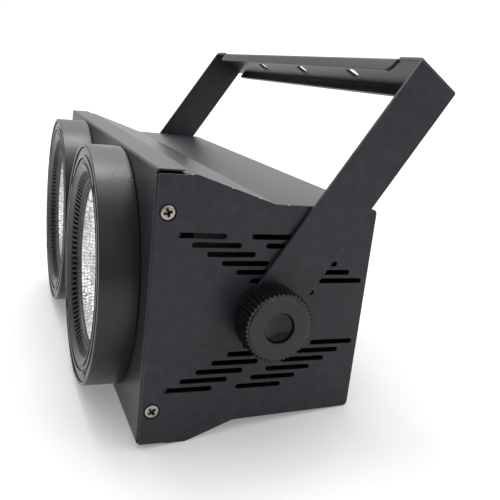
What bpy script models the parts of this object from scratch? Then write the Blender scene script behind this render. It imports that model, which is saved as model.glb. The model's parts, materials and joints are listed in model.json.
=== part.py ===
"""Two-eye stage blinder lamp: sheet-steel housing, two round LED eyes, a tilting yoke.

The lamp is modelled square to its own housing, in millimetres: X runs across the front and
is positive towards the right eye as the audience sees it, Y runs from the front panel to the
back, and Z runs up. The origin of that frame is the middle of the front panel's outer face.
The empty "lamp_stance" then leans the whole lamp back until it stands on the rear edge of
its lower front fold and on the lower edge of its back, and puts it on the floor at Z = 0.
"""
import math

import bmesh
import bpy
from mathutils import Vector
from mathutils.geometry import tessellate_polygon

MM = 0.001
GAP = 0.3                       # clearance between pieces that touch

# Housing
HALF_WIDTH = 190.0              # middle to the outer face of a side plate
HALF_HEIGHT = 82.5
DEPTH = 140.5
TOP_FOLD_Y = 22.8               # where the top starts to slope down
TOP_SLOPE_END = (71.8, 67.5)
TOP_BACK_Z = 66.7
BOTTOM_FOLD_Y = 29.7
BOTTOM_SLOPE_END = (59.7, -70.4)
BOTTOM_BACK_Z = -67.0
SIDE_SHEET = 1.5
FRONT_SHEET = 1.0
COVER_SHEET = 1.2
TRAY_DEPTH = 16.0               # of the front panel's folded rim
TRAY_TOP = 84.4                 # the rim stands proud of the rear cover
TRAY_BOTTOM = 83.0
TRAY_SLIT = 1.2                 # open slit at the ends of the rim's top and bottom
TRAY_RELIEF = 3.2               # the rim's sides stop this far from its top and bottom
PLATE_STEP = 0.4                # the side plates are this much lower beside the rim
BACK_CORNER = 3.0

# Eyes
EYE_X = 86.9
BEZEL_RADIUS = 82.6
BEZEL_FRONT = -24.4
EYE_OPENING = 68.0
RING_STEPS = 40

# Yoke
PIVOT_Y = 72.0
YOKE_LEAN = math.radians(32.3)  # backwards from the housing's vertical
YOKE_REACH = 178.8              # pivot to the outer face of the crossbar
YOKE_WIDTH = 32.7
YOKE_SHEET = 2.5
YOKE_BEND = 3.0
WASHER = 0.6
LIP_DEPTH_FRONT = 10.0
LIP_DEPTH_REAR = 8.6
LIP_END_FRONT = 166.0
LIP_END_REAR = 172.0
RELIEF_WIDTH = 1.5              # of the cuts at the ends of the lips
RELIEF_DEPTH = 3.0
CLAMP_HOLE_RADIUS = 6.5
CLAMP_HOLE_PITCH = 88.0

# Tilt knobs and their bolts
KNOB_RADIUS = 21.6
KNOB_TOOTH = 1.2
KNOB_TEETH = 46
KNOB_FACE = 25.1                # outside the side plate
KNOB_RECESS = 9.3
BOLT_RADIUS = 4.0
BOLT_END = 176.0
BOLT_HOLE = 4.6

# Side plate: slanted rows of vent slots, mirrored above and below the middle
SLOT_LENGTH = 30.3
SLOT_HEIGHT = 3.35
SLOT_FIRST = (13.35, 47.75)
SLOT_STEP = (9.5, -5.45)
SLOT_ROWS = 6
SLOT_COLUMN = 45.6
SMALL_HOLE = (102.2, 13.0)
SMALL_HOLE_RADIUS = 1.9
SCREW_Y = 7.45
SCREW_Z = 60.5
SCREW_HEAD = 4.5
SCREW_SHANK = 2.4
SCREW_LENGTH = 12.0

# Light engine, along Y
GLASS_RADIUS = 57.1
GLASS_FRONT = -17.2
GLASS_SHEET = 1.9
REFLECTOR_MOUTH = 55.0
REFLECTOR_THROAT = 13.0
REFLECTOR_SHELL = 1.0
REFLECTOR_FLANGE = 61.0
REFLECTOR_BACK = 33.7
HOLDER_FRONT = 34.0
BOARD_FRONT = 38.5
SINK_FRONT = 40.0
SINK_BACK = 82.0
SINK_HALF = 50.0
CHASSIS_Y = 82.3
CHASSIS_SHEET = 1.5
FAN_FRONT = 84.1
FAN_DEPTH = 20.0
FAN_HALF = 40.0
FAN_BORE = 38.0
FAN_HUB = 16.0
FAN_BLADES = 7

# Back: control panel, sockets and eyelet
PANEL_HALF = 38.0
PANEL_Z = (2.0, 50.0)
CUTOUT_HALF = 34.0
CUTOUT_Z = (6.0, 46.0)
WINDOW_HALF = 20.0
WINDOW_Z = (28.0, 42.0)
BUTTON_X = (-24.0, -8.0, 8.0, 24.0)
BUTTON_Z = 15.0
BUTTON_RADIUS = 3.5
SOCKET_Z = -32.0
POWER_IN_X = -150.0
POWER_OUT_X = -112.0
FUSE_X = -76.0
DMX_IN_X = 112.0
DMX_OUT_X = 150.0
BARREL_RADIUS = 11.8
BARREL_BACK = 119.0
CAVITY_RADIUS = 10.5
CAVITY_FLOOR = 128.0
LATCH_RISE = 1.3                # leaves the latch room for its 1 mm travel
EYELET_Z = -36.0
GRILLE_SLOTS = 6
GRILLE_HALF = 28.0
GRILLE_SLOT_HEIGHT = 4.0
GRILLE_PITCH = 8.0
GRILLE_LOW = 4.0

PALETTE = {
    "charcoal_paint": ((0.040, 0.040, 0.046), 0.45, 0.0),
    "black_plastic": ((0.025, 0.025, 0.028), 0.50, 0.0),
    "grey_plastic": ((0.30, 0.31, 0.33), 0.50, 0.0),
    "blue_plastic": ((0.03, 0.10, 0.35), 0.45, 0.0),
    "nickel": ((0.62, 0.58, 0.52), 0.30, 1.0),
    "zinc_steel": ((0.50, 0.50, 0.50), 0.40, 1.0),
    "bright_aluminium": ((0.90, 0.90, 0.91), 0.18, 1.0),
    "raw_aluminium": ((0.62, 0.63, 0.64), 0.40, 1.0),
    "phosphor": ((0.85, 0.62, 0.12), 0.60, 0.0),
    "circuit_board": ((0.02, 0.12, 0.05), 0.50, 0.0),
    "clear_glass": ((0.90, 0.93, 0.93), 0.05, 0.0),
    "smoked_window": ((0.05, 0.02, 0.02), 0.10, 0.0),
    "white_nylon": ((0.75, 0.75, 0.73), 0.55, 0.0),
}


# ---------------------------------------------------------------- outlines

def arc(centre, radius, start, end, steps):
    """Points on an arc, ends included; angles in degrees."""
    points = []
    for step in range(steps + 1):
        angle = math.radians(start + (end - start) * step / steps)
        points.append((centre[0] + radius * math.cos(angle), centre[1] + radius * math.sin(angle)))
    return points


def circle(centre, radius, steps):
    return arc(centre, radius, 0.0, 360.0, steps)[:-1]


def rectangle(low, high):
    return [(low[0], low[1]), (high[0], low[1]), (high[0], high[1]), (low[0], high[1])]


def rounded_rectangle(low, high, radius, steps=3):
    corners = (
        (high[0] - radius, high[1] - radius, 0),
        (low[0] + radius, high[1] - radius, 90),
        (low[0] + radius, low[1] + radius, 180),
        (high[0] - radius, low[1] + radius, 270),
    )
    points = []
    for across, up, start in corners:
        points += arc((across, up), radius, start, start + 90, steps)
    return points


def slot(left, middle_height, length, height, steps=2):
    """A level slot with round ends; left is its left end."""
    radius = height / 2
    right_end = arc((left + length - radius, middle_height), radius, -90, 90, steps)
    left_end = arc((left + radius, middle_height), radius, 90, 270, steps)
    return right_end + left_end


def side_outline():
    """Outer outline of the housing seen from the side, as (y, z)."""
    radius = BACK_CORNER
    lower = arc((DEPTH - radius, BOTTOM_BACK_Z + radius), radius, 270, 360, 3)
    upper = arc((DEPTH - radius, TOP_BACK_Z - radius), radius, 0, 90, 3)
    front = 1.0
    shoulder = TRAY_DEPTH + GAP
    low = HALF_HEIGHT - PLATE_STEP
    return (
        [(front, -low), (shoulder, -low), (shoulder, -HALF_HEIGHT)]
        + [(BOTTOM_FOLD_Y, -HALF_HEIGHT), BOTTOM_SLOPE_END]
        + lower
        + upper
        + [TOP_SLOPE_END, (TOP_FOLD_Y, HALF_HEIGHT)]
        + [(shoulder, HALF_HEIGHT), (shoulder, low), (front, low)]
    )


def vent_slots():
    slots = []
    for row in range(SLOT_ROWS):
        for column in (0, 1):
            for half in (1, -1):
                left = SLOT_FIRST[0] + row * SLOT_STEP[0] + column * SLOT_COLUMN
                height = half * (SLOT_FIRST[1] + row * SLOT_STEP[1])
                slots.append(slot(left, height, SLOT_LENGTH, SLOT_HEIGHT))
    return slots


# ---------------------------------------------------------------- solids

def point_on(axis, along, first, second):
    """A 3-D point in metres from a distance along an axis and two across it."""
    placed = {"x": (along, first, second), "y": (first, along, second), "z": (first, second, along)}
    return Vector(placed[axis]) * MM


def fill(mesh, loops):
    """Fill a flat loop of vertices, leaving its inner loops open."""
    flat = [vertex for loop in loops for vertex in loop]
    for triangle in tessellate_polygon([[vertex.co / MM for vertex in loop] for loop in loops]):
        mesh.faces.new([flat[index] for index in triangle])


def prism(axis, low, high, outline, holes=(), high_holes=None):
    """A solid between two flat ends; its holes may differ in size at the two ends."""
    mesh = bmesh.new()
    ends = []
    for along, inner in ((low, holes), (high, high_holes or holes)):
        loops = [outline] + list(inner)
        ends.append([[mesh.verts.new(point_on(axis, along, *p)) for p in loop] for loop in loops])
        fill(mesh, ends[-1])
    for near, far in zip(*ends):
        for index in range(len(near)):
            mesh.faces.new((near[index - 1], near[index], far[index], far[index - 1]))
    bmesh.ops.recalc_face_normals(mesh, faces=mesh.faces)
    return mesh


def turned(axis, profile, steps, centre=(0.0, 0.0)):
    """Turn a profile of (along, radius) points round an axis; it closes on itself, or on
    the axis where its first and last radius are nought."""
    mesh = bmesh.new()
    rings = []
    for along, radius in profile:
        count = steps if radius > 0 else 1
        ring = circle(centre, radius, steps)[:count]
        rings.append([mesh.verts.new(point_on(axis, along, *point)) for point in ring])
    pairs = list(zip(rings, rings[1:]))
    if profile[0][1] > 0:
        pairs.append((rings[-1], rings[0]))
    for near, far in pairs:
        for index in range(steps):
            if len(near) == 1:
                corners = [near[0], far[index], far[index - 1]]
            elif len(far) == 1:
                corners = [near[index - 1], near[index], far[0]]
            else:
                corners = [near[index - 1], near[index], far[index], far[index - 1]]
            mesh.faces.new(corners)
    bmesh.ops.recalc_face_normals(mesh, faces=mesh.faces)
    return mesh


def gathered(meshes):
    """One mesh holding several separate solids, for a cutter or a boolean operand."""
    whole = bmesh.new()
    for mesh in meshes:
        data = bpy.data.meshes.new("gathered")
        mesh.to_mesh(data)
        whole.from_mesh(data)
        bpy.data.meshes.remove(data)
        mesh.free()
    return whole


def skin(facets, outward_check):
    """A folded sheet's outer skin, from flat facets given as lists of 3-D loops in
    millimetres. outward_check is a direction that the first facet has to face."""
    mesh = bmesh.new()
    for loops in facets:
        fill(mesh, [[mesh.verts.new(Vector(point) * MM) for point in loop] for loop in loops])
    bmesh.ops.remove_doubles(mesh, verts=mesh.verts, dist=0.01 * MM)
    bmesh.ops.recalc_face_normals(mesh, faces=mesh.faces)
    mesh.faces.ensure_lookup_table()
    if mesh.faces[0].normal.dot(Vector(outward_check)) < 0:
        bmesh.ops.reverse_faces(mesh, faces=mesh.faces)
    return mesh


def piece(name, mesh, finish, parent, smooth=None, location=(0.0, 0.0, 0.0)):
    """One sub-part: an object with its own material."""
    data = bpy.data.meshes.new(name)
    mesh.to_mesh(data)
    mesh.free()
    colour, roughness, metallic = PALETTE[finish]
    material = bpy.data.materials.new(name + "_" + finish)
    material.use_nodes = True
    shader = material.node_tree.nodes["Principled BSDF"]
    shader.inputs["Base Color"].default_value = (*colour, 1.0)
    shader.inputs["Roughness"].default_value = roughness
    shader.inputs["Metallic"].default_value = metallic
    data.materials.append(material)
    if smooth:
        data.shade_smooth()
        data.set_sharp_from_angle(angle=math.radians(smooth))
    item = bpy.data.objects.new(name, data)
    bpy.context.collection.objects.link(item)
    item.parent = parent
    item.location = Vector(location) * MM
    return item


def fold(item, thickness):
    """Give a skin its sheet thickness, inwards from the outer face."""
    solid = item.modifiers.new("sheet", "SOLIDIFY")
    solid.thickness = thickness * MM
    solid.offset = -1.0
    solid.use_even_offset = True
    solid.use_quality_normals = True


def combine(item, mesh, operation):
    """Join or cut an object with a hidden second solid."""
    data = bpy.data.meshes.new(item.name + "_tool")
    mesh.to_mesh(data)
    mesh.free()
    tool = bpy.data.objects.new(item.name + "_tool", data)
    bpy.context.collection.objects.link(tool)
    tool.parent = item
    tool.hide_render = True
    tool.display_type = "WIRE"
    boolean = item.modifiers.new(operation.lower(), "BOOLEAN")
    boolean.operation = operation
    boolean.solver = "EXACT"
    boolean.object = tool


def frame_empty(name, parent=None, location=(0.0, 0.0, 0.0), lean=0.0):
    """An empty that carries pieces; lean turns it backwards about X."""
    empty = bpy.data.objects.new(name, None)
    bpy.context.collection.objects.link(empty)
    empty.parent = parent
    empty.location = Vector(location) * MM
    empty.rotation_euler = (-lean, 0.0, 0.0)
    return empty


# ---------------------------------------------------------------- housing

def make_front_panel(stance):
    """A shallow tray: the face with its two round openings and a rim folded back."""
    wide = HALF_WIDTH - SIDE_SHEET - GAP
    slit_x = wide - TRAY_SLIT
    edges = {1: TRAY_TOP, -1: TRAY_BOTTOM}
    slit_top = TRAY_TOP - TRAY_RELIEF
    slit_bottom = TRAY_RELIEF - TRAY_BOTTOM
    rim = []
    for across, up in ((1, 1), (-1, 1), (-1, -1), (1, -1)):
        corner = [(wide * across, slit_top if up > 0 else slit_bottom)]
        corner += [(wide * across, edges[up] * up), (slit_x * across, edges[up] * up)]
        rim += corner if across * up > 0 else corner[::-1]
    openings = [circle((EYE_X * side, 0.0), EYE_OPENING, RING_STEPS) for side in (1, -1)]
    facets = [[[(x, 0.0, z) for x, z in loop] for loop in [rim] + openings]]
    for up in (1, -1):
        edge = edges[up] * up
        facets.append([[(-slit_x, 0.0, edge), (slit_x, 0.0, edge),
                        (slit_x, TRAY_DEPTH, edge), (-slit_x, TRAY_DEPTH, edge)]])
    for side in (1, -1):
        edge = wide * side
        facets.append([
            [(edge, 0.0, slit_bottom), (edge, 0.0, slit_top),
             (edge, TRAY_DEPTH, slit_top), (edge, TRAY_DEPTH, slit_bottom)],
            [(edge, y, z) for y, z in circle((SCREW_Y, SCREW_Z), SCREW_SHANK + 0.7, 12)],
            [(edge, y, z) for y, z in circle((SCREW_Y, -SCREW_Z), SCREW_SHANK + 0.7, 12)],
        ])
    panel = piece("front_panel", skin(facets, (0, -1, 0)), "charcoal_paint", stance)
    fold(panel, FRONT_SHEET)


def make_side_plate(name, side, stance):
    """A flat plate with vent slots, the pivot hole and two countersunk holes."""
    plain = vent_slots()
    plain.append(circle((PIVOT_Y, 0.0), BOLT_HOLE, 16))
    plain.append(circle(SMALL_HOLE, SMALL_HOLE_RADIUS, 10))
    centres = ((SCREW_Y, SCREW_Z), (SCREW_Y, -SCREW_Z))
    outer = [circle(centre, SCREW_HEAD + 0.4, 16) for centre in centres]
    inner = [circle(centre, SCREW_HEAD + 0.4 - SIDE_SHEET, 16) for centre in centres]
    inside = (HALF_WIDTH - SIDE_SHEET) * side
    mesh = prism("x", inside, HALF_WIDTH * side, side_outline(), plain + inner, plain + outer)
    piece(name, mesh, "charcoal_paint", stance)


def cover_profile():
    """The rear cover's outer skin seen from the side, from the top front edge round the
    back to the bottom front edge."""
    front = TRAY_DEPTH + GAP
    points = [(front, HALF_HEIGHT), (TOP_FOLD_Y, HALF_HEIGHT), TOP_SLOPE_END]
    radius = BACK_CORNER
    points += arc((DEPTH - radius, TOP_BACK_Z - radius), radius, 90, 0, 3)
    points += arc((DEPTH - radius, BOTTOM_BACK_Z + radius), radius, 0, -90, 3)
    points += [BOTTOM_SLOPE_END, (BOTTOM_FOLD_Y, -HALF_HEIGHT), (front, -HALF_HEIGHT)]
    return points


def back_openings():
    """Holes in the flat back, as loops of (x, z)."""
    holes = [rectangle((-CUTOUT_HALF, CUTOUT_Z[0]), (CUTOUT_HALF, CUTOUT_Z[1]))]
    for x in (POWER_IN_X, POWER_OUT_X, DMX_IN_X, DMX_OUT_X):
        holes.append(circle((x, SOCKET_Z), BARREL_RADIUS + 0.6, 20))
    holes.append(circle((FUSE_X, SOCKET_Z), 7.1, 16))
    for side in (1, -1):
        for row in range(GRILLE_SLOTS):
            height = GRILLE_LOW + GRILLE_PITCH * row
            left = EYE_X * side - GRILLE_HALF
            holes.append(slot(left, height, 2 * GRILLE_HALF, GRILLE_SLOT_HEIGHT))
    return holes


def make_rear_cover(stance):
    """One sheet folded over the top, the back and the bottom."""
    wide = HALF_WIDTH - SIDE_SHEET - GAP
    profile = cover_profile()
    facets = []
    for (y1, z1), (y2, z2) in zip(profile, profile[1:]):
        loop = [(-wide, y1, z1), (wide, y1, z1), (wide, y2, z2), (-wide, y2, z2)]
        facets.append([loop])
    cover = piece("rear_cover", skin(facets, (0, 0, 1)), "charcoal_paint", stance)
    fold(cover, COVER_SHEET)
    cutters = [prism("y", DEPTH - 2 * COVER_SHEET, DEPTH + COVER_SHEET, hole) for hole in back_openings()]
    combine(cover, gathered(cutters), "DIFFERENCE")


def make_side_screw(name, side, height, recess_turn, stance):
    """A countersunk machine screw with a cross recess turned as it was left."""
    face = HALF_WIDTH + 0.1
    cone = face - (SCREW_HEAD - SCREW_SHANK)
    profile = [(face, 0.0), (face, SCREW_HEAD - 0.3), (face - 0.3, SCREW_HEAD - 0.15)]
    profile += [(cone, SCREW_SHANK), (face - SCREW_LENGTH, SCREW_SHANK), (face - SCREW_LENGTH, 0.0)]
    profile = [(along * side, radius) for along, radius in profile]
    screw = piece(name, turned("x", profile, 12), "nickel", stance, 35, (0.0, SCREW_Y, height))
    ends = (face - 1.5) * side, (face + 1.0) * side
    cross = []
    for arm in range(4):
        for reach, offset in ((2.6, -0.55), (2.6, 0.55), (0.55, 0.55)):
            turn = math.radians(recess_turn + 90 * arm)
            across = reach * math.cos(turn) - offset * math.sin(turn)
            cross.append((across, reach * math.sin(turn) + offset * math.cos(turn)))
    combine(screw, prism("x", ends[0], ends[1], cross), "DIFFERENCE")


# ---------------------------------------------------------------- one eye

def make_eye_front(suffix, eye):
    """The parts of an eye in front of the panel: bezel, rings and glass."""
    front = BEZEL_FRONT
    bezel = [(-GAP, BEZEL_RADIUS), (front + 0.8, BEZEL_RADIUS), (front, BEZEL_RADIUS - 0.7)]
    bezel += [(front, 80.2), (front + 5.0, 80.2), (front + 5.0, 70.0), (front + 7.4, 70.0)]
    bezel += [(front + 7.4, 79.9), (-3.3, 79.9), (-3.3, 71.0), (-GAP, 71.0)]
    piece("bezel_" + suffix, turned("y", bezel, RING_STEPS), "black_plastic", eye, 40)

    ring = [(front + 4.7, 79.8), (front + 1.0, 79.8), (front + 1.0, 75.2)]
    ring += [(front + 0.1, 75.2), (front + 0.1, 73.0), (front + 4.7, 73.0)]
    piece("front_ring_" + suffix, turned("y", ring, RING_STEPS), "black_plastic", eye, 40)

    baffle = [(front + 4.7, 72.6), (front + 1.0, 72.6), (front + 1.0, 69.6)]
    baffle += [(front + 0.1, 69.6), (front + 0.1, 69.0), (front + 2.4, 64.5)]
    baffle += [(front + 6.4, 58.5), (front + 6.8, 57.4), (front + 9.1, 57.4)]
    baffle += [(front + 9.1, 58.8), (front + 7.7, 58.8), (front + 4.7, 63.3)]
    piece("baffle_ring_" + suffix, turned("y", baffle, RING_STEPS), "black_plastic", eye, 40)

    glass = [(GLASS_FRONT, 0.0), (GLASS_FRONT, GLASS_RADIUS)]
    glass += [(GLASS_FRONT + GLASS_SHEET, GLASS_RADIUS), (GLASS_FRONT + GLASS_SHEET, 0.0)]
    piece("glass_" + suffix, turned("y", glass, 24), "clear_glass", eye, 40)


def make_reflector(suffix, eye):
    """A thin spun bowl, open at its throat, with a flat flange at its mouth."""
    mouth = GLASS_FRONT + GLASS_SHEET + GAP
    rows = 4
    inner = []
    outer = []
    for row in range(rows + 1):
        share = row / rows
        along = mouth + (REFLECTOR_BACK - mouth) * share
        spread = (1 - share) * (REFLECTOR_MOUTH ** 2 - REFLECTOR_THROAT ** 2)
        radius = math.sqrt(REFLECTOR_THROAT ** 2 + spread)
        inner.append((along, radius))
        outer.append((along + REFLECTOR_SHELL * (1 - share), radius + REFLECTOR_SHELL))
    flange = [(mouth + REFLECTOR_SHELL, REFLECTOR_FLANGE), (mouth, REFLECTOR_FLANGE)]
    profile = inner + outer[::-1] + flange
    piece("reflector_" + suffix, turned("y", profile, 28), "bright_aluminium", eye, 50)


def make_light_source(suffix, eye):
    """The COB LED, its holder and the finned heat sink behind them."""
    board = prism("y", BOARD_FRONT, SINK_FRONT - GAP, rectangle((-14, -14), (14, 14)))
    chip = piece("cob_led_" + suffix, board, "phosphor", eye)
    emitter = [(BOARD_FRONT - 0.6, 0.0), (BOARD_FRONT - 0.6, 11.0)]
    emitter += [(BOARD_FRONT + 0.5, 11.0), (BOARD_FRONT + 0.5, 0.0)]
    combine(chip, turned("y", emitter, 20), "UNION")

    hole = circle((0, 0), 12.6, 20)
    holder = prism("y", HOLDER_FRONT, BOARD_FRONT - GAP, circle((0, 0), 25.0, 20), [hole])
    piece("cob_holder_" + suffix, holder, "white_nylon", eye, 30)

    base = SINK_FRONT + 6.0
    fins = 9
    thick = 2.4
    pitch = (2 * SINK_HALF - thick) / (fins - 1)
    comb = [(-SINK_HALF, SINK_FRONT), (SINK_HALF, SINK_FRONT)]
    for fin in reversed(range(fins)):
        left = -SINK_HALF + fin * pitch
        comb += [(left + thick, SINK_BACK), (left, SINK_BACK)]
        if fin:
            comb += [(left, base), (left - pitch + thick, base)]
    sink = prism("z", -SINK_HALF, SINK_HALF, comb)
    piece("heat_sink_" + suffix, sink, "raw_aluminium", eye)


def make_fan(suffix, eye):
    """An axial fan: a square frame with a spider at the back, and a bladed rotor."""
    back = FAN_FRONT + FAN_DEPTH
    square = rounded_rectangle((-FAN_HALF, -FAN_HALF), (FAN_HALF, FAN_HALF), 4.0, 2)
    tube = prism("y", FAN_FRONT, back, square, [circle((0, 0), FAN_BORE, 32)])
    frame = piece("fan_frame_" + suffix, tube, "black_plastic", eye, 30)
    arms = 4
    reach = FAN_BORE + 1.0
    spider = []
    for arm in range(arms):
        start = 360 / arms * arm
        spider += arc((0, 0), FAN_HUB, start + 12, start + 360 / arms - 12, 3)
        spider += [(math.cos(math.radians(start + 360 / arms + turn)) * reach,
                    math.sin(math.radians(start + 360 / arms + turn)) * reach) for turn in (-4, 4)]
    combine(frame, prism("y", back - 2.5, back - 0.5, spider), "UNION")

    hub = [(FAN_FRONT + 1.5, 0.0), (FAN_FRONT + 1.5, FAN_HUB - 1.0), (FAN_FRONT + 2.5, FAN_HUB)]
    hub += [(back - 3.5, FAN_HUB), (back - 3.5, 0.0)]
    rotor = piece("fan_rotor_" + suffix, turned("y", hub, 28), "black_plastic", eye, 40)
    combine(rotor, gathered([fan_blade(number) for number in range(FAN_BLADES)]), "UNION")


def fan_blade(number):
    """One twisted blade, from inside the hub to just inside the frame's bore."""
    mesh = bmesh.new()
    rings = []
    for share in (0.0, 0.5, 1.0):
        radius = FAN_HUB - 2.0 + share * (FAN_BORE - 1.6 - FAN_HUB + 2.0)
        pitch = math.radians(58 - 22 * share)
        sweep = 360 / FAN_BLADES * number + 14 * share
        chord = 11.0 + 5.0 * share
        ring = []
        for lengthwise, thick in ((-1, -1), (1, -1), (1, 1), (-1, 1)):
            along = lengthwise * chord / 2 * math.sin(pitch) + thick * 0.6 * math.cos(pitch)
            across = lengthwise * chord / 2 * math.cos(pitch) - thick * 0.6 * math.sin(pitch)
            turn = math.radians(sweep) + across / max(radius, 20.0)
            place = (FAN_FRONT + 9.0 + along, math.cos(turn) * radius, math.sin(turn) * radius)
            ring.append(mesh.verts.new(point_on("y", *place)))
        rings.append(ring)
    for near, far in zip(rings, rings[1:]):
        for index in range(4):
            mesh.faces.new((near[index - 1], near[index], far[index], far[index - 1]))
    mesh.faces.new(rings[0])
    mesh.faces.new(rings[-1])
    bmesh.ops.triangulate(mesh, faces=mesh.faces)
    bmesh.ops.recalc_face_normals(mesh, faces=mesh.faces)
    return mesh


# ---------------------------------------------------------------- inside and back

def make_inner_parts(stance):
    """The chassis plate that carries the fans, the power supply and the driver board."""
    holes = [circle((EYE_X * side, 0.0), FAN_BORE, 24) for side in (1, -1)]
    holes.append(rectangle((-31, -55), (31, 55)))
    sheet = rectangle((-HALF_WIDTH + 4, -62), (HALF_WIDTH - 4, 62))
    mesh = prism("y", CHASSIS_Y, CHASSIS_Y + CHASSIS_SHEET, sheet, holes)
    piece("chassis_plate", mesh, "zinc_steel", stance)

    case = prism("y", 32.0, 118.0, rounded_rectangle((-28, -52), (28, 52), 2.0, 2))
    piece("power_supply", case, "raw_aluminium", stance)

    board = prism("y", 124.0, 125.6, rectangle((-34, -8), (34, 50)))
    piece("driver_board", board, "circuit_board", stance)


def make_control_panel(stance):
    """The operating panel on the back: frame, display window and four push buttons."""
    outline = rounded_rectangle((-PANEL_HALF, PANEL_Z[0]), (PANEL_HALF, PANEL_Z[1]), 3.0)
    holes = [rectangle((-WINDOW_HALF - GAP, WINDOW_Z[0] - GAP), (WINDOW_HALF + GAP, WINDOW_Z[1] + GAP))]
    holes += [circle((x, BUTTON_Z), BUTTON_RADIUS + 0.4, 16) for x in BUTTON_X]
    panel = prism("y", DEPTH + GAP, DEPTH + GAP + 1.4, outline, holes)
    piece("control_panel", panel, "black_plastic", stance)

    window = rectangle((-WINDOW_HALF, WINDOW_Z[0]), (WINDOW_HALF, WINDOW_Z[1]))
    piece("display_window", prism("y", DEPTH - 9.0, DEPTH + 1.3, window), "smoked_window", stance)

    for number, x in enumerate(BUTTON_X, start=1):
        top = DEPTH + 3.4
        button = [(top, 0.0), (top, BUTTON_RADIUS - 0.4), (top - 0.4, BUTTON_RADIUS)]
        button += [(DEPTH - 1.5, BUTTON_RADIUS), (DEPTH - 1.5, 5.0), (DEPTH - 2.7, 5.0)]
        button += [(DEPTH - 2.7, 1.6), (DEPTH - 13.3, 1.6), (DEPTH - 13.3, 0.0)]
        name = "menu_button_{}".format(number)
        piece(name, turned("y", button, 12), "grey_plastic", stance, 40, (x, 0.0, BUTTON_Z))


def make_socket(name, x, finish, stance, pins=False, core=None):
    """A round panel socket: a flange on the back, a barrel through it and a cavity."""
    flange = rounded_rectangle((-13, -15.5), (13, 15.5), 2.5, 2)
    face = DEPTH + GAP
    socket = piece(name, prism("y", face, face + 2.0, flange), finish, stance, None, (x, 0.0, SOCKET_Z))
    barrel = [(face + 1.0, 0.0), (face + 1.0, BARREL_RADIUS), (BARREL_BACK, BARREL_RADIUS), (BARREL_BACK, 0.0)]
    combine(socket, turned("y", barrel, 20), "UNION")
    inner = 0.0 if core is None else core
    cavity = [(CAVITY_FLOOR, CAVITY_RADIUS), (face + 3.0, CAVITY_RADIUS)]
    cavity += [(face + 3.0, inner), (CAVITY_FLOOR, inner)]
    if core is None:
        cavity = [cavity[3], cavity[0], cavity[1], cavity[2]]
    combine(socket, turned("y", cavity, 20), "DIFFERENCE")
    if pins:
        posts = []
        for turn in (90, 210, 330):
            centre = arc((0, 0), 4.6, turn, turn, 1)[0]
            posts.append(prism("y", CAVITY_FLOOR - 1.0, CAVITY_FLOOR + 7.5, circle(centre, 1.25, 8)))
        combine(socket, gathered(posts), "UNION")
    return socket


def make_back_fittings(stance):
    """Mains and control sockets, the fuse and the eyelet for a safety wire."""
    make_socket("power_in", POWER_IN_X, "blue_plastic", stance)
    make_socket("power_out", POWER_OUT_X, "grey_plastic", stance)
    make_socket("dmx_in", DMX_IN_X, "black_plastic", stance, pins=True)
    dmx_out = make_socket("dmx_out", DMX_OUT_X, "black_plastic", stance, core=7.2)
    face = DEPTH + GAP
    notch = prism("y", face - 1.0, face + 3.0, rectangle((-3.3, 11.2), (3.3, 16.5)))
    combine(dmx_out, notch, "DIFFERENCE")
    tab = prism("y", face + LATCH_RISE, face + 4.0, rectangle((-3.0, 12.4), (3.0, 15.3)))
    piece("dmx_out_latch", tab, "zinc_steel", stance, None, (DMX_OUT_X, 0.0, SOCKET_Z))

    holder = [(DEPTH - 18.0, 0.0), (DEPTH - 18.0, 6.5), (face, 6.5), (face, 9.0), (face + 2.5, 9.0)]
    holder += [(face + 2.5, 5.6), (DEPTH - 16.0, 5.6), (DEPTH - 16.0, 0.0)]
    place = (FUSE_X, 0.0, SOCKET_Z)
    piece("fuse_holder", turned("y", holder, 20), "black_plastic", stance, 40, place)
    cap = [(DEPTH - 15.5, 0.0), (DEPTH - 15.5, 5.2), (face + 2.8, 5.2), (face + 2.8, 7.5)]
    cap += [(face + 6.0, 7.0), (face + 6.0, 0.0)]
    fuse_cap = piece("fuse_cap", turned("y", cap, 20), "black_plastic", stance, 40, place)
    groove = prism("y", face + 5.0, face + 7.0, rectangle((-9.0, -0.7), (9.0, 0.7)))
    combine(fuse_cap, groove, "DIFFERENCE")

    plate = prism("y", face, face + 2.0, rounded_rectangle((-17, -7), (17, 7), 2.5, 2))
    eyelet = piece("safety_eyelet", plate, "zinc_steel", stance, 50, (0.0, 0.0, EYELET_Z))
    combine(eyelet, half_hoop(face + 1.0, 9.0, 2.3), "UNION")


def half_hoop(foot, reach, radius):
    """Half a round-bar hoop that stands on the plane y = foot."""
    mesh = bmesh.new()
    rings = []
    stations = [(reach, foot)] + arc((0.0, foot + 4.0), reach, 0, 180, 8) + [(-reach, foot)]
    for number, (x, y) in enumerate(stations):
        before = stations[max(number - 1, 0)]
        after = stations[min(number + 1, len(stations) - 1)]
        along = Vector((after[0] - before[0], after[1] - before[1], 0.0)).normalized()
        side = Vector((along.y, -along.x, 0.0))
        ring = []
        for across, up in circle((0, 0), radius, 10):
            centre = Vector((x, y, 0.0))
            ring.append(mesh.verts.new((centre + side * across + Vector((0, 0, up))) * MM))
        rings.append(ring)
    for near, far in zip(rings, rings[1:]):
        for index in range(10):
            mesh.faces.new((near[index - 1], near[index], far[index], far[index - 1]))
    mesh.faces.new(rings[0])
    mesh.faces.new(rings[-1])
    bmesh.ops.recalc_face_normals(mesh, faces=mesh.faces)
    return mesh


# ---------------------------------------------------------------- yoke and pivots

def lip_loop(end, depth, corner, y):
    """One folded lip of the crossbar, with its two free corners rounded."""
    top = YOKE_REACH
    low = top - depth
    points = [(end, top)]
    points += arc((end - corner, low + corner), corner, 0, -90, 4)
    points += arc((-end + corner, low + corner), corner, -90, -180, 4)
    points.append((-end, top))
    return [(x, y, z) for x, z in points]


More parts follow.
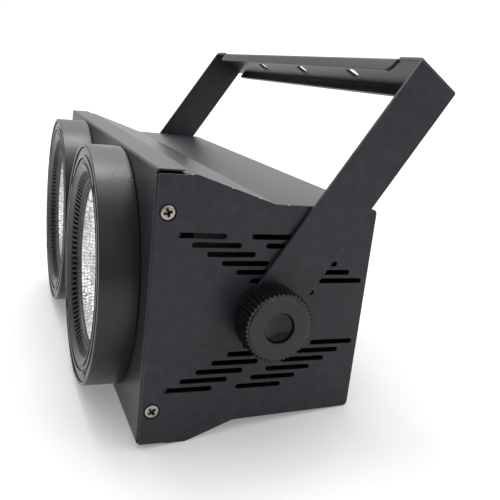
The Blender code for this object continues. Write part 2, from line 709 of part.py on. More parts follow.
def make_yoke(pivot):
    """A U of flat strap whose crossbar has two lips folded towards the lamp."""
    half = YOKE_WIDTH / 2
    outer = HALF_WIDTH + WASHER + 2 * GAP + YOKE_SHEET
    flat_end = outer - YOKE_BEND
    leg_top = YOKE_REACH - YOKE_BEND
    border = []
    for turn, lip_end in ((1, LIP_END_REAR), (-1, LIP_END_FRONT)):
        for side in (1, -1):
            notch = [(flat_end, half), (lip_end + RELIEF_WIDTH, half)]
            notch += [(lip_end + RELIEF_WIDTH, half - RELIEF_DEPTH), (lip_end, half - RELIEF_DEPTH)]
            notch.append((lip_end, half))
            notch = [(x * side * turn, y * turn) for x, y in notch]
            border += notch if side > 0 else notch[::-1]
    centres = [(CLAMP_HOLE_PITCH * place, 0.0) for place in (-1, 0, 1)]
    loops = [border] + [circle(centre, CLAMP_HOLE_RADIUS, 20) for centre in centres]
    facets = [[[(x, y, YOKE_REACH) for x, y in loop] for loop in loops]]
    facets.append([lip_loop(LIP_END_FRONT, LIP_DEPTH_FRONT, 7.0, -half)])
    facets.append([lip_loop(LIP_END_REAR, LIP_DEPTH_REAR, 3.0, half)])
    for side in (1, -1):
        bend = arc((flat_end, leg_top), YOKE_BEND, 90, 0, 3)
        for (x1, z1), (x2, z2) in zip(bend, bend[1:]):
            strip = [(x1, -half, z1), (x1, half, z1), (x2, half, z2), (x2, -half, z2)]
            facets.append([[(x * side, y, z) for x, y, z in strip]])
        leg = [(half, leg_top), (-half, leg_top)] + arc((0.0, 0.0), half, 180, 360, 12)
        leg_loops = [leg, circle((0.0, 0.0), BOLT_HOLE, 16)]
        facets.append([[(outer * side, y, z) for y, z in loop] for loop in leg_loops])
    yoke = piece("yoke", skin(facets, (0, 0, 1)), "charcoal_paint", pivot)
    fold(yoke, YOKE_SHEET)


def make_pivot(suffix, side, pivot):
    """Washer, nut and hand knob of one tilt pivot."""
    strap_out = HALF_WIDTH + WASHER + 2 * GAP + YOKE_SHEET
    low, high = HALF_WIDTH + GAP, HALF_WIDTH + GAP + WASHER
    ring = [(low * side, 4.5), (low * side, 11.0), (high * side, 11.0), (high * side, 4.5)]
    piece("pivot_washer_" + suffix, turned("x", ring, 20), "black_plastic", pivot, 40)

    inside = HALF_WIDTH - SIDE_SHEET - GAP
    hexagon = circle((0, 0), 7.5, 6)
    nut = prism("x", (inside - 6.5) * side, inside * side, hexagon, [circle((0, 0), BOLT_RADIUS + 0.35, 12)])
    piece("pivot_nut_" + suffix, nut, "zinc_steel", pivot)

    teeth = []
    for number in range(2 * KNOB_TEETH):
        radius = KNOB_RADIUS - (number % 2) * KNOB_TOOTH
        angle = math.pi * number / KNOB_TEETH
        teeth.append((radius * math.cos(angle), radius * math.sin(angle)))
    face = HALF_WIDTH + KNOB_FACE
    grip = prism("x", (strap_out + GAP) * side, face * side, teeth)
    knob = piece("tilt_knob_" + suffix, grip, "black_plastic", pivot, 25)
    bolt = [(strap_out + 4.0, 0.0), (strap_out + 4.0, BOLT_RADIUS)]
    bolt += [(BOLT_END + 1.0, BOLT_RADIUS), (BOLT_END, BOLT_RADIUS - 1.0), (BOLT_END, 0.0)]
    combine(knob, turned("x", [(a * side, r) for a, r in bolt], 12), "UNION")
    dish = [(face - 4.0, 0.0), (face - 3.0, KNOB_RECESS - 1.5), (face - 2.0, KNOB_RECESS)]
    dish += [(face + 1.0, KNOB_RECESS), (face + 1.0, 0.0)]
    combine(knob, turned("x", [(a * side, r) for a, r in dish], 24), "DIFFERENCE")


# ---------------------------------------------------------------- whole lamp

def resting_lean():
    """The lean that puts the lower fold's rear edge and the back's lower edge level."""
    rise = BOTTOM_BACK_Z + HALF_HEIGHT
    return math.atan2(rise, DEPTH - BOTTOM_FOLD_Y)


def set_on_floor(stance):
    """Move the lamp so that its box stands on Z = 0, centred on the origin."""
    bpy.context.view_layer.update()
    graph = bpy.context.evaluated_depsgraph_get()
    points = []
    for item in bpy.context.collection.objects:
        if item.type == "MESH" and not item.hide_render:
            shape = item.evaluated_get(graph).to_mesh()
            points += [item.matrix_world @ vertex.co for vertex in shape.vertices]
    depths = [point.y for point in points]
    stance.location.y -= (min(depths) + max(depths)) / 2
    stance.location.z -= min(point.z for point in points)
    bpy.context.view_layer.update()


def main():
    for item in list(bpy.data.objects):
        bpy.data.objects.remove(item, do_unlink=True)
    stance = frame_empty("lamp_stance", lean=resting_lean())
    make_front_panel(stance)
    make_rear_cover(stance)
    make_inner_parts(stance)
    make_control_panel(stance)
    make_back_fittings(stance)
    pivot = frame_empty("tilt_pivot", stance, (0.0, PIVOT_Y, 0.0))
    for suffix, side in (("right", 1), ("left", -1)):
        make_side_plate("side_plate_" + suffix, side, stance)
        make_side_screw("side_screw_{}_upper".format(suffix), side, SCREW_Z, 17.0, stance)
        make_side_screw("side_screw_{}_lower".format(suffix), side, -SCREW_Z, 38.0, stance)
        eye = frame_empty("eye_" + suffix, stance, (EYE_X * side, 0.0, 0.0))
        make_eye_front(suffix, eye)
        make_reflector(suffix, eye)
        make_light_source(suffix, eye)
        make_fan(suffix, eye)
        make_pivot(suffix, side, pivot)
    make_yoke(frame_empty("yoke_lean", pivot, lean=YOKE_LEAN))
    set_on_floor(stance)


main()
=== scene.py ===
"""Looks of the two-eye stage blinder lamp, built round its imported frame.

Shapes are drawn in millimetres, square to the lamp's housing as the CAD is: X runs across the
front, Y from the front panel to the back, Z up. STANCE then leans them as the CAD stands.
Sheet-metal pieces are drawn as flat blanks with rounded edges and are then bent along a path.
"""

import json
import math
import random

import bmesh
import bpy
from mathutils import Matrix, Vector
from mathutils.geometry import delaunay_2d_cdt


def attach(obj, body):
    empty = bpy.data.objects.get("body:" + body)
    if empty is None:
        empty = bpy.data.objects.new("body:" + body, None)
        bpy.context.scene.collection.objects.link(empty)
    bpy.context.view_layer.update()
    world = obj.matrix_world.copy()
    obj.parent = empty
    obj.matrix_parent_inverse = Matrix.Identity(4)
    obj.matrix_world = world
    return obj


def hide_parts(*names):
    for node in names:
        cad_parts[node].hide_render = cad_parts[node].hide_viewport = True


MM = 0.001
SIDES = (("right", 1), ("left", -1))
GAP = 0.3  # clearance between neighbouring parts

# Housing, as in the CAD
HALF_WIDTH = 190.0
HALF_HEIGHT = 82.5
DEPTH = 140.5
TOP_FOLD_Y = 22.8
TOP_SLOPE_END = (71.8, 67.5)
TOP_BACK_Z = 66.7
BOTTOM_FOLD_Y = 29.7
BOTTOM_SLOPE_END = (59.7, -70.4)
BOTTOM_BACK_Z = -67.0
SIDE_SHEET = 1.5
FRONT_SHEET = 1.0
COVER_SHEET = 1.2
TRAY_DEPTH = 16.0
TRAY_TOP = 84.4
TRAY_BOTTOM = 83.0
TRAY_HALF = HALF_WIDTH - SIDE_SHEET - GAP
PLATE_STEP = 0.4  # the side plate is this much lower beside the tray's rim
BACK_CORNER = 3.0
FOLD_RADIUS = 4.0  # where the top and the bottom begin to slope
SLOPE_RADIUS = 6.0  # where their slopes end
TRAY_FOLD = 1.8
TRAY_RELIEF = 1.4

# Eyes
EYE_X = 86.9
BEZEL_FRONT = -24.4
EYE_OPENING = 68.0
EYE_STEPS = 144
CONE_SLOTS = 96
CONE_SHARE = 0.6
CLIP_TURNS = (54.0, 138.0, 222.0, 306.0)
CLIP_HALF_TURN = 2.2
BEZEL_OUTER = 82.6
BEZEL_BORE = 80.2
BEZEL_INNER = 79.9
BEZEL_LEDGE = 70.0
BEZEL_FOOT = 71.0
RING_OUTER = 79.8
RING_STEP = 75.2
RING_INNER = 73.0
BAFFLE_OUTER = 72.6
BAFFLE_STEP = 69.6
BAFFLE_INNER = 64.5
COLLAR_OUTER = 58.8
COLLAR_INNER = 57.2

# Yoke
PIVOT_Y = 72.0
YOKE_LEAN = math.radians(32.3)
YOKE_REACH = 178.8
YOKE_HALF_WIDTH = 16.35
YOKE_SHEET = 2.5
YOKE_BEND = 3.0
YOKE_HALF_SPAN = 193.7
LIP_DEPTH_FRONT = 10.0
LIP_DEPTH_REAR = 8.6
LIP_END_FRONT = 166.0
LIP_END_REAR = 172.0
RELIEF_WIDTH = 1.5
CLAMP_HOLE_RADIUS = 6.5
CLAMP_HOLE_PITCH = 88.0

# Tilt knobs
KNOB_RADIUS = 21.6
KNOB_TEETH = 46
KNOB_FACE = 215.1
KNOB_BACK = 194.0
KNOB_RECESS = 9.3
INSERT_RADIUS = 8.9
BOLT_RADIUS = 4.0
BOLT_END = 176.0
BOLT_HOLE = 4.6

# Side plate
SLOT_LENGTH = 30.3
SLOT_HEIGHT = 3.35
SLOT_FIRST = (13.35, 47.75)
SLOT_STEP = (9.5, -5.45)
SLOT_ROWS = 6
SLOT_COLUMN = 45.6
SMALL_HOLE = (102.2, 13.0)
SMALL_HOLE_RADIUS = 1.9
SCREW_Y = 7.45
SCREW_Z = 60.5
SCREW_SINK = (5.1, 4.9)  # radii of the countersink, at the face and at the back
SHANK_RADIUS = 2.4
SIDE_HEAD = {"radius": 4.2, "depth": 2.4, "arm": 2.7, "width": 0.72}
NIB_PLACES = (3.5, 29.0, 47.0, 66.0, 88.0, 109.0)
NIB_SIZE = (0.30, 0.9, 0.28)

# Back
FACE = DEPTH + GAP
SOCKET_Z = -32.0
POWER_IN_X = -150.0
POWER_OUT_X = -112.0
FUSE_X = -76.0
DMX_IN_X = 112.0
DMX_OUT_X = 150.0
BUTTON_X = (-24.0, -8.0, 8.0, 24.0)
BUTTON_Z = 15.0
EYELET_Z = -36.0
SOCKET_HOLE = 12.4
SOCKET_BORE = 10.5
SOCKET_FLOOR = 128.0 - FACE
SOCKET_END = 119.0 - FACE
PIN_CIRCLE = 4.6
BLADE_CIRCLE = 5.0
PLATE = 2.0  # thickness of the socket flanges and of the eyelet's plate
FUSE_HOLE = 7.1
PANEL_OPENING = ((-34.0, 6.0), (34.0, 46.0))
VENT_ROWS = 6
VENT_LENGTH = 56.0
VENT_HEIGHT = 4.0
VENT_LOWEST = 4.0
VENT_PITCH = 8.0
FILTER = ((-31, 0.5), (31, 47.5))
FILTER_THICKNESS = 2.0
SMALL_HEAD = {"radius": 2.3, "depth": 1.0, "arm": 1.3, "width": 0.28}

# Stage, in metres
SOFT_SIDE = (-0.55, 0.83, 0.0)
LIGHTS = (  # name, place, aim, diameter, watts
    ("overhead", (-0.60, 0.15, 1.6), (0.0, 0.0, 0.05), 2.4, 18.0),
    ("key", (-0.48, 0.12, 1.55), (0.0, 0.0, 0.05), 0.7, 8.0),
    ("right_back", (1.2, 1.1, 0.9), (0.6, 0.5, 0.0), 1.0, 6.0),
    ("on_backdrop", (-0.9, 0.6, 1.5), (-2.1, 0.9, 0.7), 1.0, 12.0),
)
CAMERA_PLACE = (0.54193, -0.15073, 0.23369)
CAMERA_AIM = (0.00541, 0.05076, 0.05609)
CAMERA_ROLL = -1.149
CAMERA_LENS = 48.435

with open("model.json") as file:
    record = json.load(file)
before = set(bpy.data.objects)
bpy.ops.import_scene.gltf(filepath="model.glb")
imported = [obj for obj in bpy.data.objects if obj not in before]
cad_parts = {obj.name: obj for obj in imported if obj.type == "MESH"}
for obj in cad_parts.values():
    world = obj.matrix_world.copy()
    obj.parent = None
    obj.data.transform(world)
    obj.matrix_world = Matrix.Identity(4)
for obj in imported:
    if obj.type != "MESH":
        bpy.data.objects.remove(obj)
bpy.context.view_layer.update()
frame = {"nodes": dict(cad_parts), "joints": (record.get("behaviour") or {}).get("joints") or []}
joints = {joint["name"]: joint for joint in frame["joints"]}
press = joints["button_1_press"]["axis"]
LEAN = math.atan2(press[2], -press[1])
PIVOT = Matrix.Translation(joints["yoke_tilt"]["pos_m"])
STANCE = PIVOT @ Matrix.Rotation(-LEAN, 4, "X") @ Matrix.Translation((0.0, -PIVOT_Y * MM, 0.0))
YOKE_PLACE = PIVOT @ Matrix.Rotation(-LEAN - YOKE_LEAN, 4, "X")


# ---------------- outlines

def arc(centre, radius, start, end, steps):
    """Points on an arc, ends included; angles in degrees."""
    points = []
    for step in range(steps + 1):
        angle = math.radians(start + (end - start) * step / steps)
        points.append((centre[0] + radius * math.cos(angle), centre[1] + radius * math.sin(angle)))
    return points


def circle(centre, radius, steps=32):
    return arc(centre, radius, 0.0, 360.0, steps)[:-1]


def rounded(corners, steps=4):
    """A closed outline whose corners (x, y, radius) are rounded."""
    points = []
    for index, (x, y, radius) in enumerate(corners):
        here = Vector((x, y))
        before = Vector(corners[index - 1][:2])
        after = Vector(corners[(index + 1) % len(corners)][:2])
        back = (before - here).normalized()
        ahead = (after - here).normalized()
        half = back.angle(ahead) / 2
        if radius <= 0 or half > math.radians(89.5):
            points.append((x, y))
            continue
        reach = min(radius / math.tan(half), (before - here).length / 2, (after - here).length / 2)
        start = here + back * reach
        end = here + ahead * reach
        size = reach * math.tan(half)
        centre = here + (back + ahead).normalized() * (size / math.sin(half))
        first = start - centre
        sweep = first.angle_signed(end - centre)
        for step in range(steps + 1):
            spot = centre + Matrix.Rotation(-sweep * step / steps, 2) @ first
            points.append((spot.x, spot.y))
    return points


def box_outline(low, high, radius):
    corners = ((low[0], low[1]), (high[0], low[1]), (high[0], high[1]), (low[0], high[1]))
    return rounded([(x, y, radius) for x, y in corners])


def slot(left, height, length, thick):
    radius = thick / 2
    right_end = arc((left + length - radius, height), radius, -90, 90, 8)
    return right_end + arc((left + radius, height), radius, 90, 270, 8)


def turned_way(loop, left_handed):
    """The loop, going anticlockwise, or clockwise where left_handed is set."""
    area = sum(a[0] * b[1] - b[0] * a[1] for a, b in zip(loop, loop[1:] + loop[:1]))
    return loop[::-1] if (area < 0) != left_handed else loop


def inset(loop, amount):
    """The loop moved to its own left, into the material."""
    points = []
    for index, point in enumerate(loop):
        here = Vector(point)
        first = (here - Vector(loop[index - 1])).normalized()
        second = (Vector(loop[(index + 1) % len(loop)]) - here).normalized()
        left = Vector((-first.y - second.y, first.x + second.x))
        points.append(tuple(here + left * (amount / max(1.0 + first.dot(second), 0.3))))
    return points


class Path:
    """A line of straight stretches and bends, measured along its length from its start. Its
    outer side is on its left."""

    def __init__(self, corners, radii):
        spots = [Vector(corner) for corner in corners]
        runs = [b - a for a, b in zip(spots, spots[1:])]
        heads = [math.atan2(run.y, run.x) for run in runs]
        turns = []
        for first, second in zip(heads, heads[1:]):
            turns.append((second - first + math.pi) % (2 * math.pi) - math.pi)
        trims = [0.0] + [r * math.tan(abs(t) / 2) for r, t in zip(radii, turns)] + [0.0]
        self.stretches = []
        self.length = 0.0
        for index, run in enumerate(runs):
            ahead = run.normalized()
            straight = run.length - trims[index] - trims[index + 1]
            self.extend(straight, spots[index] + ahead * trims[index], heads[index], 0.0)
            if index < len(turns):
                bend = radii[index] * abs(turns[index])
                start = spots[index + 1] - ahead * trims[index + 1]
                self.extend(bend, start, heads[index], turns[index])

    def extend(self, length, start, head, turn):
        self.stretches.append((self.length, length, start, head, turn))
        self.length += length

    def at(self, along):
        """Point and outward normal at a length from the start."""
        begin, length, start, head, turn = self.stretches[0]
        for stretch in self.stretches:
            if along >= stretch[0] - 1e-6:
                begin, length, start, head, turn = stretch
        local = along - begin
        outward = Vector((-math.sin(head), math.cos(head)))
        if turn == 0.0:
            return start + Vector((math.cos(head), math.sin(head))) * local, outward
        radius = length / turn
        angle = head + local / radius
        now = Vector((-math.sin(angle), math.cos(angle)))
        return start + outward * radius - now * radius, now

    def bends(self, pieces=7):
        """Lengths at which a blank is divided, so that its bends come out round."""
        cuts = []
        for begin, length, _, _, turn in self.stretches:
            if turn:
                cuts += [begin + length * step / pieces for step in range(pieces + 1)]
        return cuts

    def station(self, spot):
        """Length at the point of a straight stretch that is nearest to spot."""
        best = (1e9, 0.0)
        for begin, length, start, head, turn in self.stretches:
            if turn == 0.0:
                ahead = Vector((math.cos(head), math.sin(head)))
                local = min(max((Vector(spot) - start).dot(ahead), 0.0), length)
                away = (start + ahead * local - Vector(spot)).length
                best = min(best, (away, begin + local))
        return best[1]


# ---------------- meshes

def inside(loop, x, y):
    """Whether a point lies inside a loop of vertices."""
    within = False
    for first, second in zip(loop, loop[1:] + loop[:1]):
        (x1, y1, _), (x2, y2, _) = first.co, second.co
        if (y1 > y) != (y2 > y) and x < x1 + (y - y1) * (x2 - x1) / (y2 - y1):
            within = not within
    return within


def fill(mesh, loops):
    """Fill an outline, the first loop, round its holes, in a plane square to Z."""
    flat = [vertex for loop in loops for vertex in loop]
    owners = []
    edges = []
    for number, loop in enumerate(loops):
        begin = len(owners)
        edges += [(begin + step, begin + (step + 1) % len(loop)) for step in range(len(loop))]
        owners += [number] * len(loop)
    _, _, triangles, sources, _, _ = delaunay_2d_cdt([v.co.xy for v in flat], edges, [], 0, 1e-7)
    for triangle in triangles:
        picked = [sources[index][0] for index in triangle]
        corners = [flat[index] for index in picked]
        owner = owners[picked[0]]
        if all(owners[index] == owner for index in picked):
            middle = sum((corner.co for corner in corners), Vector()) / 3
            if inside(loops[owner], middle.x, middle.y) != (owner == 0):
                continue
        mesh.faces.new(corners)


def ring_faces(mesh, near, far):
    """Faces between two rings of vertices, either of which may be a single point."""
    for index in range(max(len(near), len(far))):
        first = (near[index - 1], near[index]) if len(near) > 1 else (near[0],)
        second = (far[index], far[index - 1]) if len(far) > 1 else (far[0],)
        mesh.faces.new(first + second)


def slab(outline, holes, thickness, edge=0.25, sinks=()):
    """A flat blank with rounded edges: outline in X and Y, depth in Z. sinks are countersunk
    holes, as (centre, radius at the face, radius at the back)."""
    mesh = bmesh.new()
    wear_and_recess_shade = mesh.verts.layers.float.new("wear_and_recess_shade")
    depths = [(0.0, edge, 0.2), (0.3 * edge, 0.3 * edge, 1.0), (edge, 0.0, 0.5)]
    depths += [(thickness - depth, pull, wear_and_shade_amount) for depth, pull, wear_and_shade_amount in reversed(depths)]
    shapes = [turned_way(list(outline), False)]
    shapes += [turned_way(list(hole), True) for hole in holes]
    levels = []
    for depth, pull, wear_and_shade_amount in depths:
        loops = [inset(shape, pull) for shape in shapes]
        for centre, face_radius, back_radius in sinks:
            radius = face_radius + (back_radius - face_radius) * depth / thickness
            loops.append(circle(centre, radius + 0.5 * pull))
        level = []
        for loop in loops:
            level.append([mesh.verts.new((x, y, depth)) for x, y in loop])
            for vertex in level[-1]:
                vertex[wear_and_recess_shade] = wear_and_shade_amount
        levels.append(level)
    fill(mesh, levels[0])
    fill(mesh, levels[-1])
    for upper, lower in zip(levels, levels[1:]):
        for near, far in zip(upper, lower):
            ring_faces(mesh, near, far)
    return mesh


def divide(mesh, axis, places):
    """Cut a blank across X, axis 0, or Y, axis 1, at each place, ready for bending."""
    normal = Vector((1 - axis, axis, 0))
    for place in places:
        everything = mesh.verts[:] + mesh.edges[:] + mesh.faces[:]
        bmesh.ops.bisect_plane(mesh, geom=everything, plane_co=normal * place, plane_no=normal,
                               dist=1e-4)


def bend(mesh, placed):
    """Move every vertex to placed(x, y, depth)."""
    for vertex in mesh.verts:
        vertex.co = placed(*vertex.co)
    return mesh


def lathe(profile, steps, axis="y", warp=None):
    """Turn a closed profile of (along, radius) points round an axis, or one that starts and
    ends on it. warp(along, radius, angle) may change a point."""
    mesh = bmesh.new()
    rings = []
    for along, radius in profile:
        ring = []
        for step in range(steps if radius > 1e-6 else 1):
            angle = 2 * math.pi * step / steps
            place, size = warp(along, radius, angle) if warp else (along, radius)
            first, second = size * math.cos(angle), size * math.sin(angle)
            spot = (first, place, second) if axis == "y" else (place, first, second)
            ring.append(mesh.verts.new(spot))
        rings.append(ring)
    pairs = list(zip(rings, rings[1:]))
    if len(rings[0]) > 1:
        pairs.append((rings[-1], rings[0]))
    for near, far in pairs:
        ring_faces(mesh, near, far)
    return mesh


def joined(*meshes):
    """One mesh that holds several solids."""
    whole = bmesh.new()
    whole.verts.layers.float.new("wear_and_recess_shade")
    for mesh in meshes:
        data = bpy.data.meshes.new("part")
        mesh.to_mesh(data)
        whole.from_mesh(data)
        bpy.data.meshes.remove(data)
        mesh.free()
    return whole


def moved(mesh, offset=(0.0, 0.0, 0.0), turn=0.0, axis="Y"):
    """The mesh turned about an axis by degrees, then shifted."""
    change = Matrix.Translation(offset) @ Matrix.Rotation(math.radians(turn), 4, axis)
    bmesh.ops.transform(mesh, matrix=change, verts=mesh.verts)
    return mesh


def into_scene(name, data):
    item = bpy.data.objects.new(name, data)
    bpy.context.scene.collection.objects.link(item)
    return item


def add(name, mesh, material, place, stands_for=(), body="housing", smooth=32.0):
    """A finished piece, in the row frame, riding on a body, with its material's slot."""
    bmesh.ops.scale(mesh, vec=(MM, MM, MM), verts=mesh.verts)
    bmesh.ops.recalc_face_normals(mesh, faces=mesh.faces)
    data = bpy.data.meshes.new(name)
    mesh.to_mesh(data)
    mesh.free()
    data.transform(place)
    data.materials.append(material)
    item = into_scene(name, data)
    if smooth:
        data.shade_smooth()
        data.set_sharp_from_angle(angle=math.radians(smooth))
        weighted = item.modifiers.new("even_shading", "WEIGHTED_NORMAL")
        weighted.keep_sharp = True
        weighted.weight = 80
    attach(item, body)
    if stands_for:
        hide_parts(*stands_for)


# ---------------- materials

class Nodes:
    """Short hands for building the node tree of a material or of the world."""

    def __init__(self, owner, shader="Principled BSDF", place="Object"):
        owner.use_nodes = True
        self.owner = owner
        self.tree = owner.node_tree
        self.shader = self.tree.nodes[shader]
        self.place = self.tree.nodes.new("ShaderNodeTexCoord").outputs[place]

    def link(self, source, target):
        self.tree.links.new(source, target)

    def new(self, kind, values=(), **settings):
        node = self.tree.nodes.new(kind)
        for key, value in settings.items():
            setattr(node, key, value)
        for key, value in dict(values).items():
            if isinstance(value, bpy.types.NodeSocket):
                self.link(value, node.inputs[key])
            else:
                node.inputs[key].default_value = value
        return node

    def noise(self, size, detail=2.0, stretch=(1.0, 1.0, 1.0)):
        """Noise with features of about size metres."""
        scaled = self.new("ShaderNodeMapping", {"Vector": self.place, "Scale": stretch})
        values = {"Vector": scaled.outputs[0], "Scale": 1.0 / size, "Detail": detail}
        return self.new("ShaderNodeTexNoise", values).outputs[0]

    def between(self, source, low, high, at_low, at_high):
        """The source's range from low to high, mapped to at_low to at_high and held there."""
        values = {"Value": source, "From Min": low, "From Max": high, "To Min": at_low,
                  "To Max": at_high}
        return self.new("ShaderNodeMapRange", values).outputs[0]

    def times(self, first, second):
        return self.new("ShaderNodeMath", {0: first, 1: second}, operation="MULTIPLY").outputs[0]

    def mix(self, share, first, second):
        return self.new("ShaderNodeMix", {0: share, 6: first, 7: second}, data_type="RGBA").outputs[2]

    def bump(self, height, distance, below=None):
        values = {"Height": height, "Strength": 1.0, "Distance": distance}
        if below:
            values["Normal"] = below
        return self.new("ShaderNodeBump", values).outputs[0]

    def surface(self, tone, rough, normal):
        """The material, its shader now fed with colour, roughness and normal."""
        for name, source in (("Base Color", tone), ("Roughness", rough), ("Normal", normal)):
            self.link(source, self.shader.inputs[name])
        return self.owner


def shade(colour, factor):
    return (colour[0] * factor, colour[1] * factor, colour[2] * factor, 1.0)


def finish(name, colour, roughness, metallic=0.0, specular=0.5, grain=0.0006, relief=0.008,
           mottle=0.15, spread=0.06, wear_and_shade_amount=0.0, wear_and_shade_tone=7.0, stretch=(1.0, 1.0, 1.0)):
    """A painted, moulded or metal surface: fine grain in the relief, a slow change of colour
    and gloss, and a change of tone where the mesh marks it: lighter on rubbed edges, and
    darker in recesses, as painted shade."""
    nodes = Nodes(bpy.data.materials.new(name))
    slow = nodes.noise(0.045, 3.0)
    fine = nodes.noise(grain, 2.0, stretch)
    tone = nodes.mix(nodes.between(slow, 0.3, 0.7, 0.0, 1.0),
                     shade(colour, 1.0 - mottle), shade(colour, 1.0 + mottle))
    tone = nodes.mix(nodes.between(fine, 0.35, 0.75, 0.0, 0.35), tone,
                     shade(colour, 1.0 + 2.5 * mottle))
    rough = nodes.between(nodes.noise(0.030, 4.0), 0.3, 0.7, roughness - spread, roughness + spread)
    # Marked vertices take a tone of their own: lighter on rubbed edges, and near black in the screws'
    # cross recesses as painted shade.
    if wear_and_shade_amount:
        marked = nodes.new("ShaderNodeAttribute", attribute_name="wear_and_recess_shade").outputs["Fac"]
        patchy = nodes.between(nodes.noise(0.007, 5.0), 0.40, 0.68, 0.35, 1.0)
        amount = nodes.times(nodes.times(marked, patchy), wear_and_shade_amount)
        tone = nodes.mix(amount, tone, shade(colour, wear_and_shade_tone))
    nodes.shader.inputs["Metallic"].default_value = metallic
    nodes.shader.inputs["Specular IOR Level"].default_value = specular
    coarse = nodes.bump(nodes.noise(grain * 3.5, 1.0, stretch), relief * MM)
    return nodes.surface(tone, rough, nodes.bump(fine, relief * MM, coarse))


def make_glass():
    """Clear tempered glass, seen mostly by its faint reflection."""
    nodes = Nodes(bpy.data.materials.new("clear_glass"))
    tone = nodes.mix(nodes.noise(0.03, 3.0), (0.80, 0.84, 0.84, 1.0), (0.88, 0.90, 0.90, 1.0))
    smear = nodes.between(nodes.noise(0.018, 4.0), 0.35, 0.75, 0.03, 0.10)
    haze = nodes.between(nodes.noise(0.006, 5.0), 0.4, 0.8, 0.05, 0.10)
    nodes.link(haze, nodes.shader.inputs["Alpha"])
    nodes.owner.surface_render_method = "BLENDED"
    return nodes.surface(tone, smear, nodes.bump(nodes.noise(0.02, 1.0), 0.01 * MM))


def make_phosphor():
    """The yellow silicone of the LED, with the faint grid of the chips under it."""
    nodes = Nodes(bpy.data.materials.new("phosphor"))
    chips = nodes.new("ShaderNodeTexVoronoi", {"Vector": nodes.place, "Scale": 620.0},
                      distance="CHEBYCHEV").outputs["Distance"]
    tone = nodes.mix(nodes.between(chips, 0.2, 0.6, 0.0, 1.0), (0.86, 0.60, 0.10, 1.0),
                     (0.74, 0.46, 0.07, 1.0))
    rough = nodes.between(nodes.noise(0.002), 0.3, 0.7, 0.35, 0.5)
    return nodes.surface(tone, rough, nodes.bump(chips, 0.05 * MM))


CHARCOAL = finish("charcoal_paint", (0.0155, 0.0153, 0.0190), 0.36, specular=0.27, grain=0.0005,
                  relief=0.004, mottle=0.015, spread=0.004, wear_and_shade_amount=0.6)
BEZEL = finish("textured_bezel", (0.0070, 0.0070, 0.0085), 0.30, specular=0.47, grain=0.0011,
               relief=0.085, mottle=0.12, spread=0.05)
BLACK = finish("black_plastic", (0.0170, 0.0170, 0.0185), 0.38, specular=0.45, grain=0.0004)
KNOB = finish("knob_plastic", (0.0082, 0.0082, 0.0104), 0.27, specular=0.42, grain=0.0004)
GLOSS = finish("glossy_plastic", (0.0060, 0.0060, 0.0075), 0.14, specular=0.28, relief=0.004,
               spread=0.05)
# Nickel plate; its marked cross recesses are darkened nearly to black as painted shade.
NICKEL = finish("nickel", (0.38, 0.35, 0.31), 0.27, metallic=1.0, grain=0.0003, relief=0.004,
                mottle=0.12, wear_and_shade_amount=1.6, wear_and_shade_tone=0.02, stretch=(1.0, 0.2, 1.0))
ZINC = finish("zinc_steel", (0.45, 0.45, 0.44), 0.42, metallic=1.0, grain=0.0012, relief=0.004,
              mottle=0.18)
MIRROR = finish("bright_reflector", (0.94, 0.94, 0.95), 0.11, metallic=1.0, grain=0.0009,
                relief=0.006, mottle=0.03, spread=0.03)
ALUMINIUM = finish("raw_aluminium", (0.60, 0.61, 0.62), 0.42, metallic=1.0, relief=0.006,
                   stretch=(1.0, 0.15, 1.0))
FOAM = finish("filter_foam", (0.010, 0.010, 0.010), 0.85, specular=0.1, grain=0.0012, relief=0.20)
SINK = finish("dark_aluminium", (0.13, 0.13, 0.135), 0.45, metallic=1.0, relief=0.006)
# The chassis plate is drawn near black instead of its zinc plating: painted shade, so that it reads
# dark through the side plates' slots.
CHASSIS_PAINTED_SHADE = finish("chassis_painted_shade", (0.006, 0.006, 0.007), 0.75, specular=0.1, grain=0.0008, relief=0.006)
NYLON = finish("white_nylon", (0.72, 0.72, 0.69), 0.50, mottle=0.05)
BOARD = finish("circuit_board", (0.015, 0.10, 0.04), 0.40, grain=0.0010, relief=0.010, mottle=0.3)
BLUE = finish("blue_plastic", (0.020, 0.085, 0.300), 0.42, grain=0.0005)
GREY = finish("grey_plastic", (0.26, 0.27, 0.29), 0.48, grain=0.0005)
SMOKED = finish("smoked_window", (0.010, 0.008, 0.009), 0.12, specular=0.6, grain=0.004,
                relief=0.002, mottle=0.3, spread=0.03)
GLASS = make_glass()
PHOSPHOR = make_phosphor()


# ---------------- housing

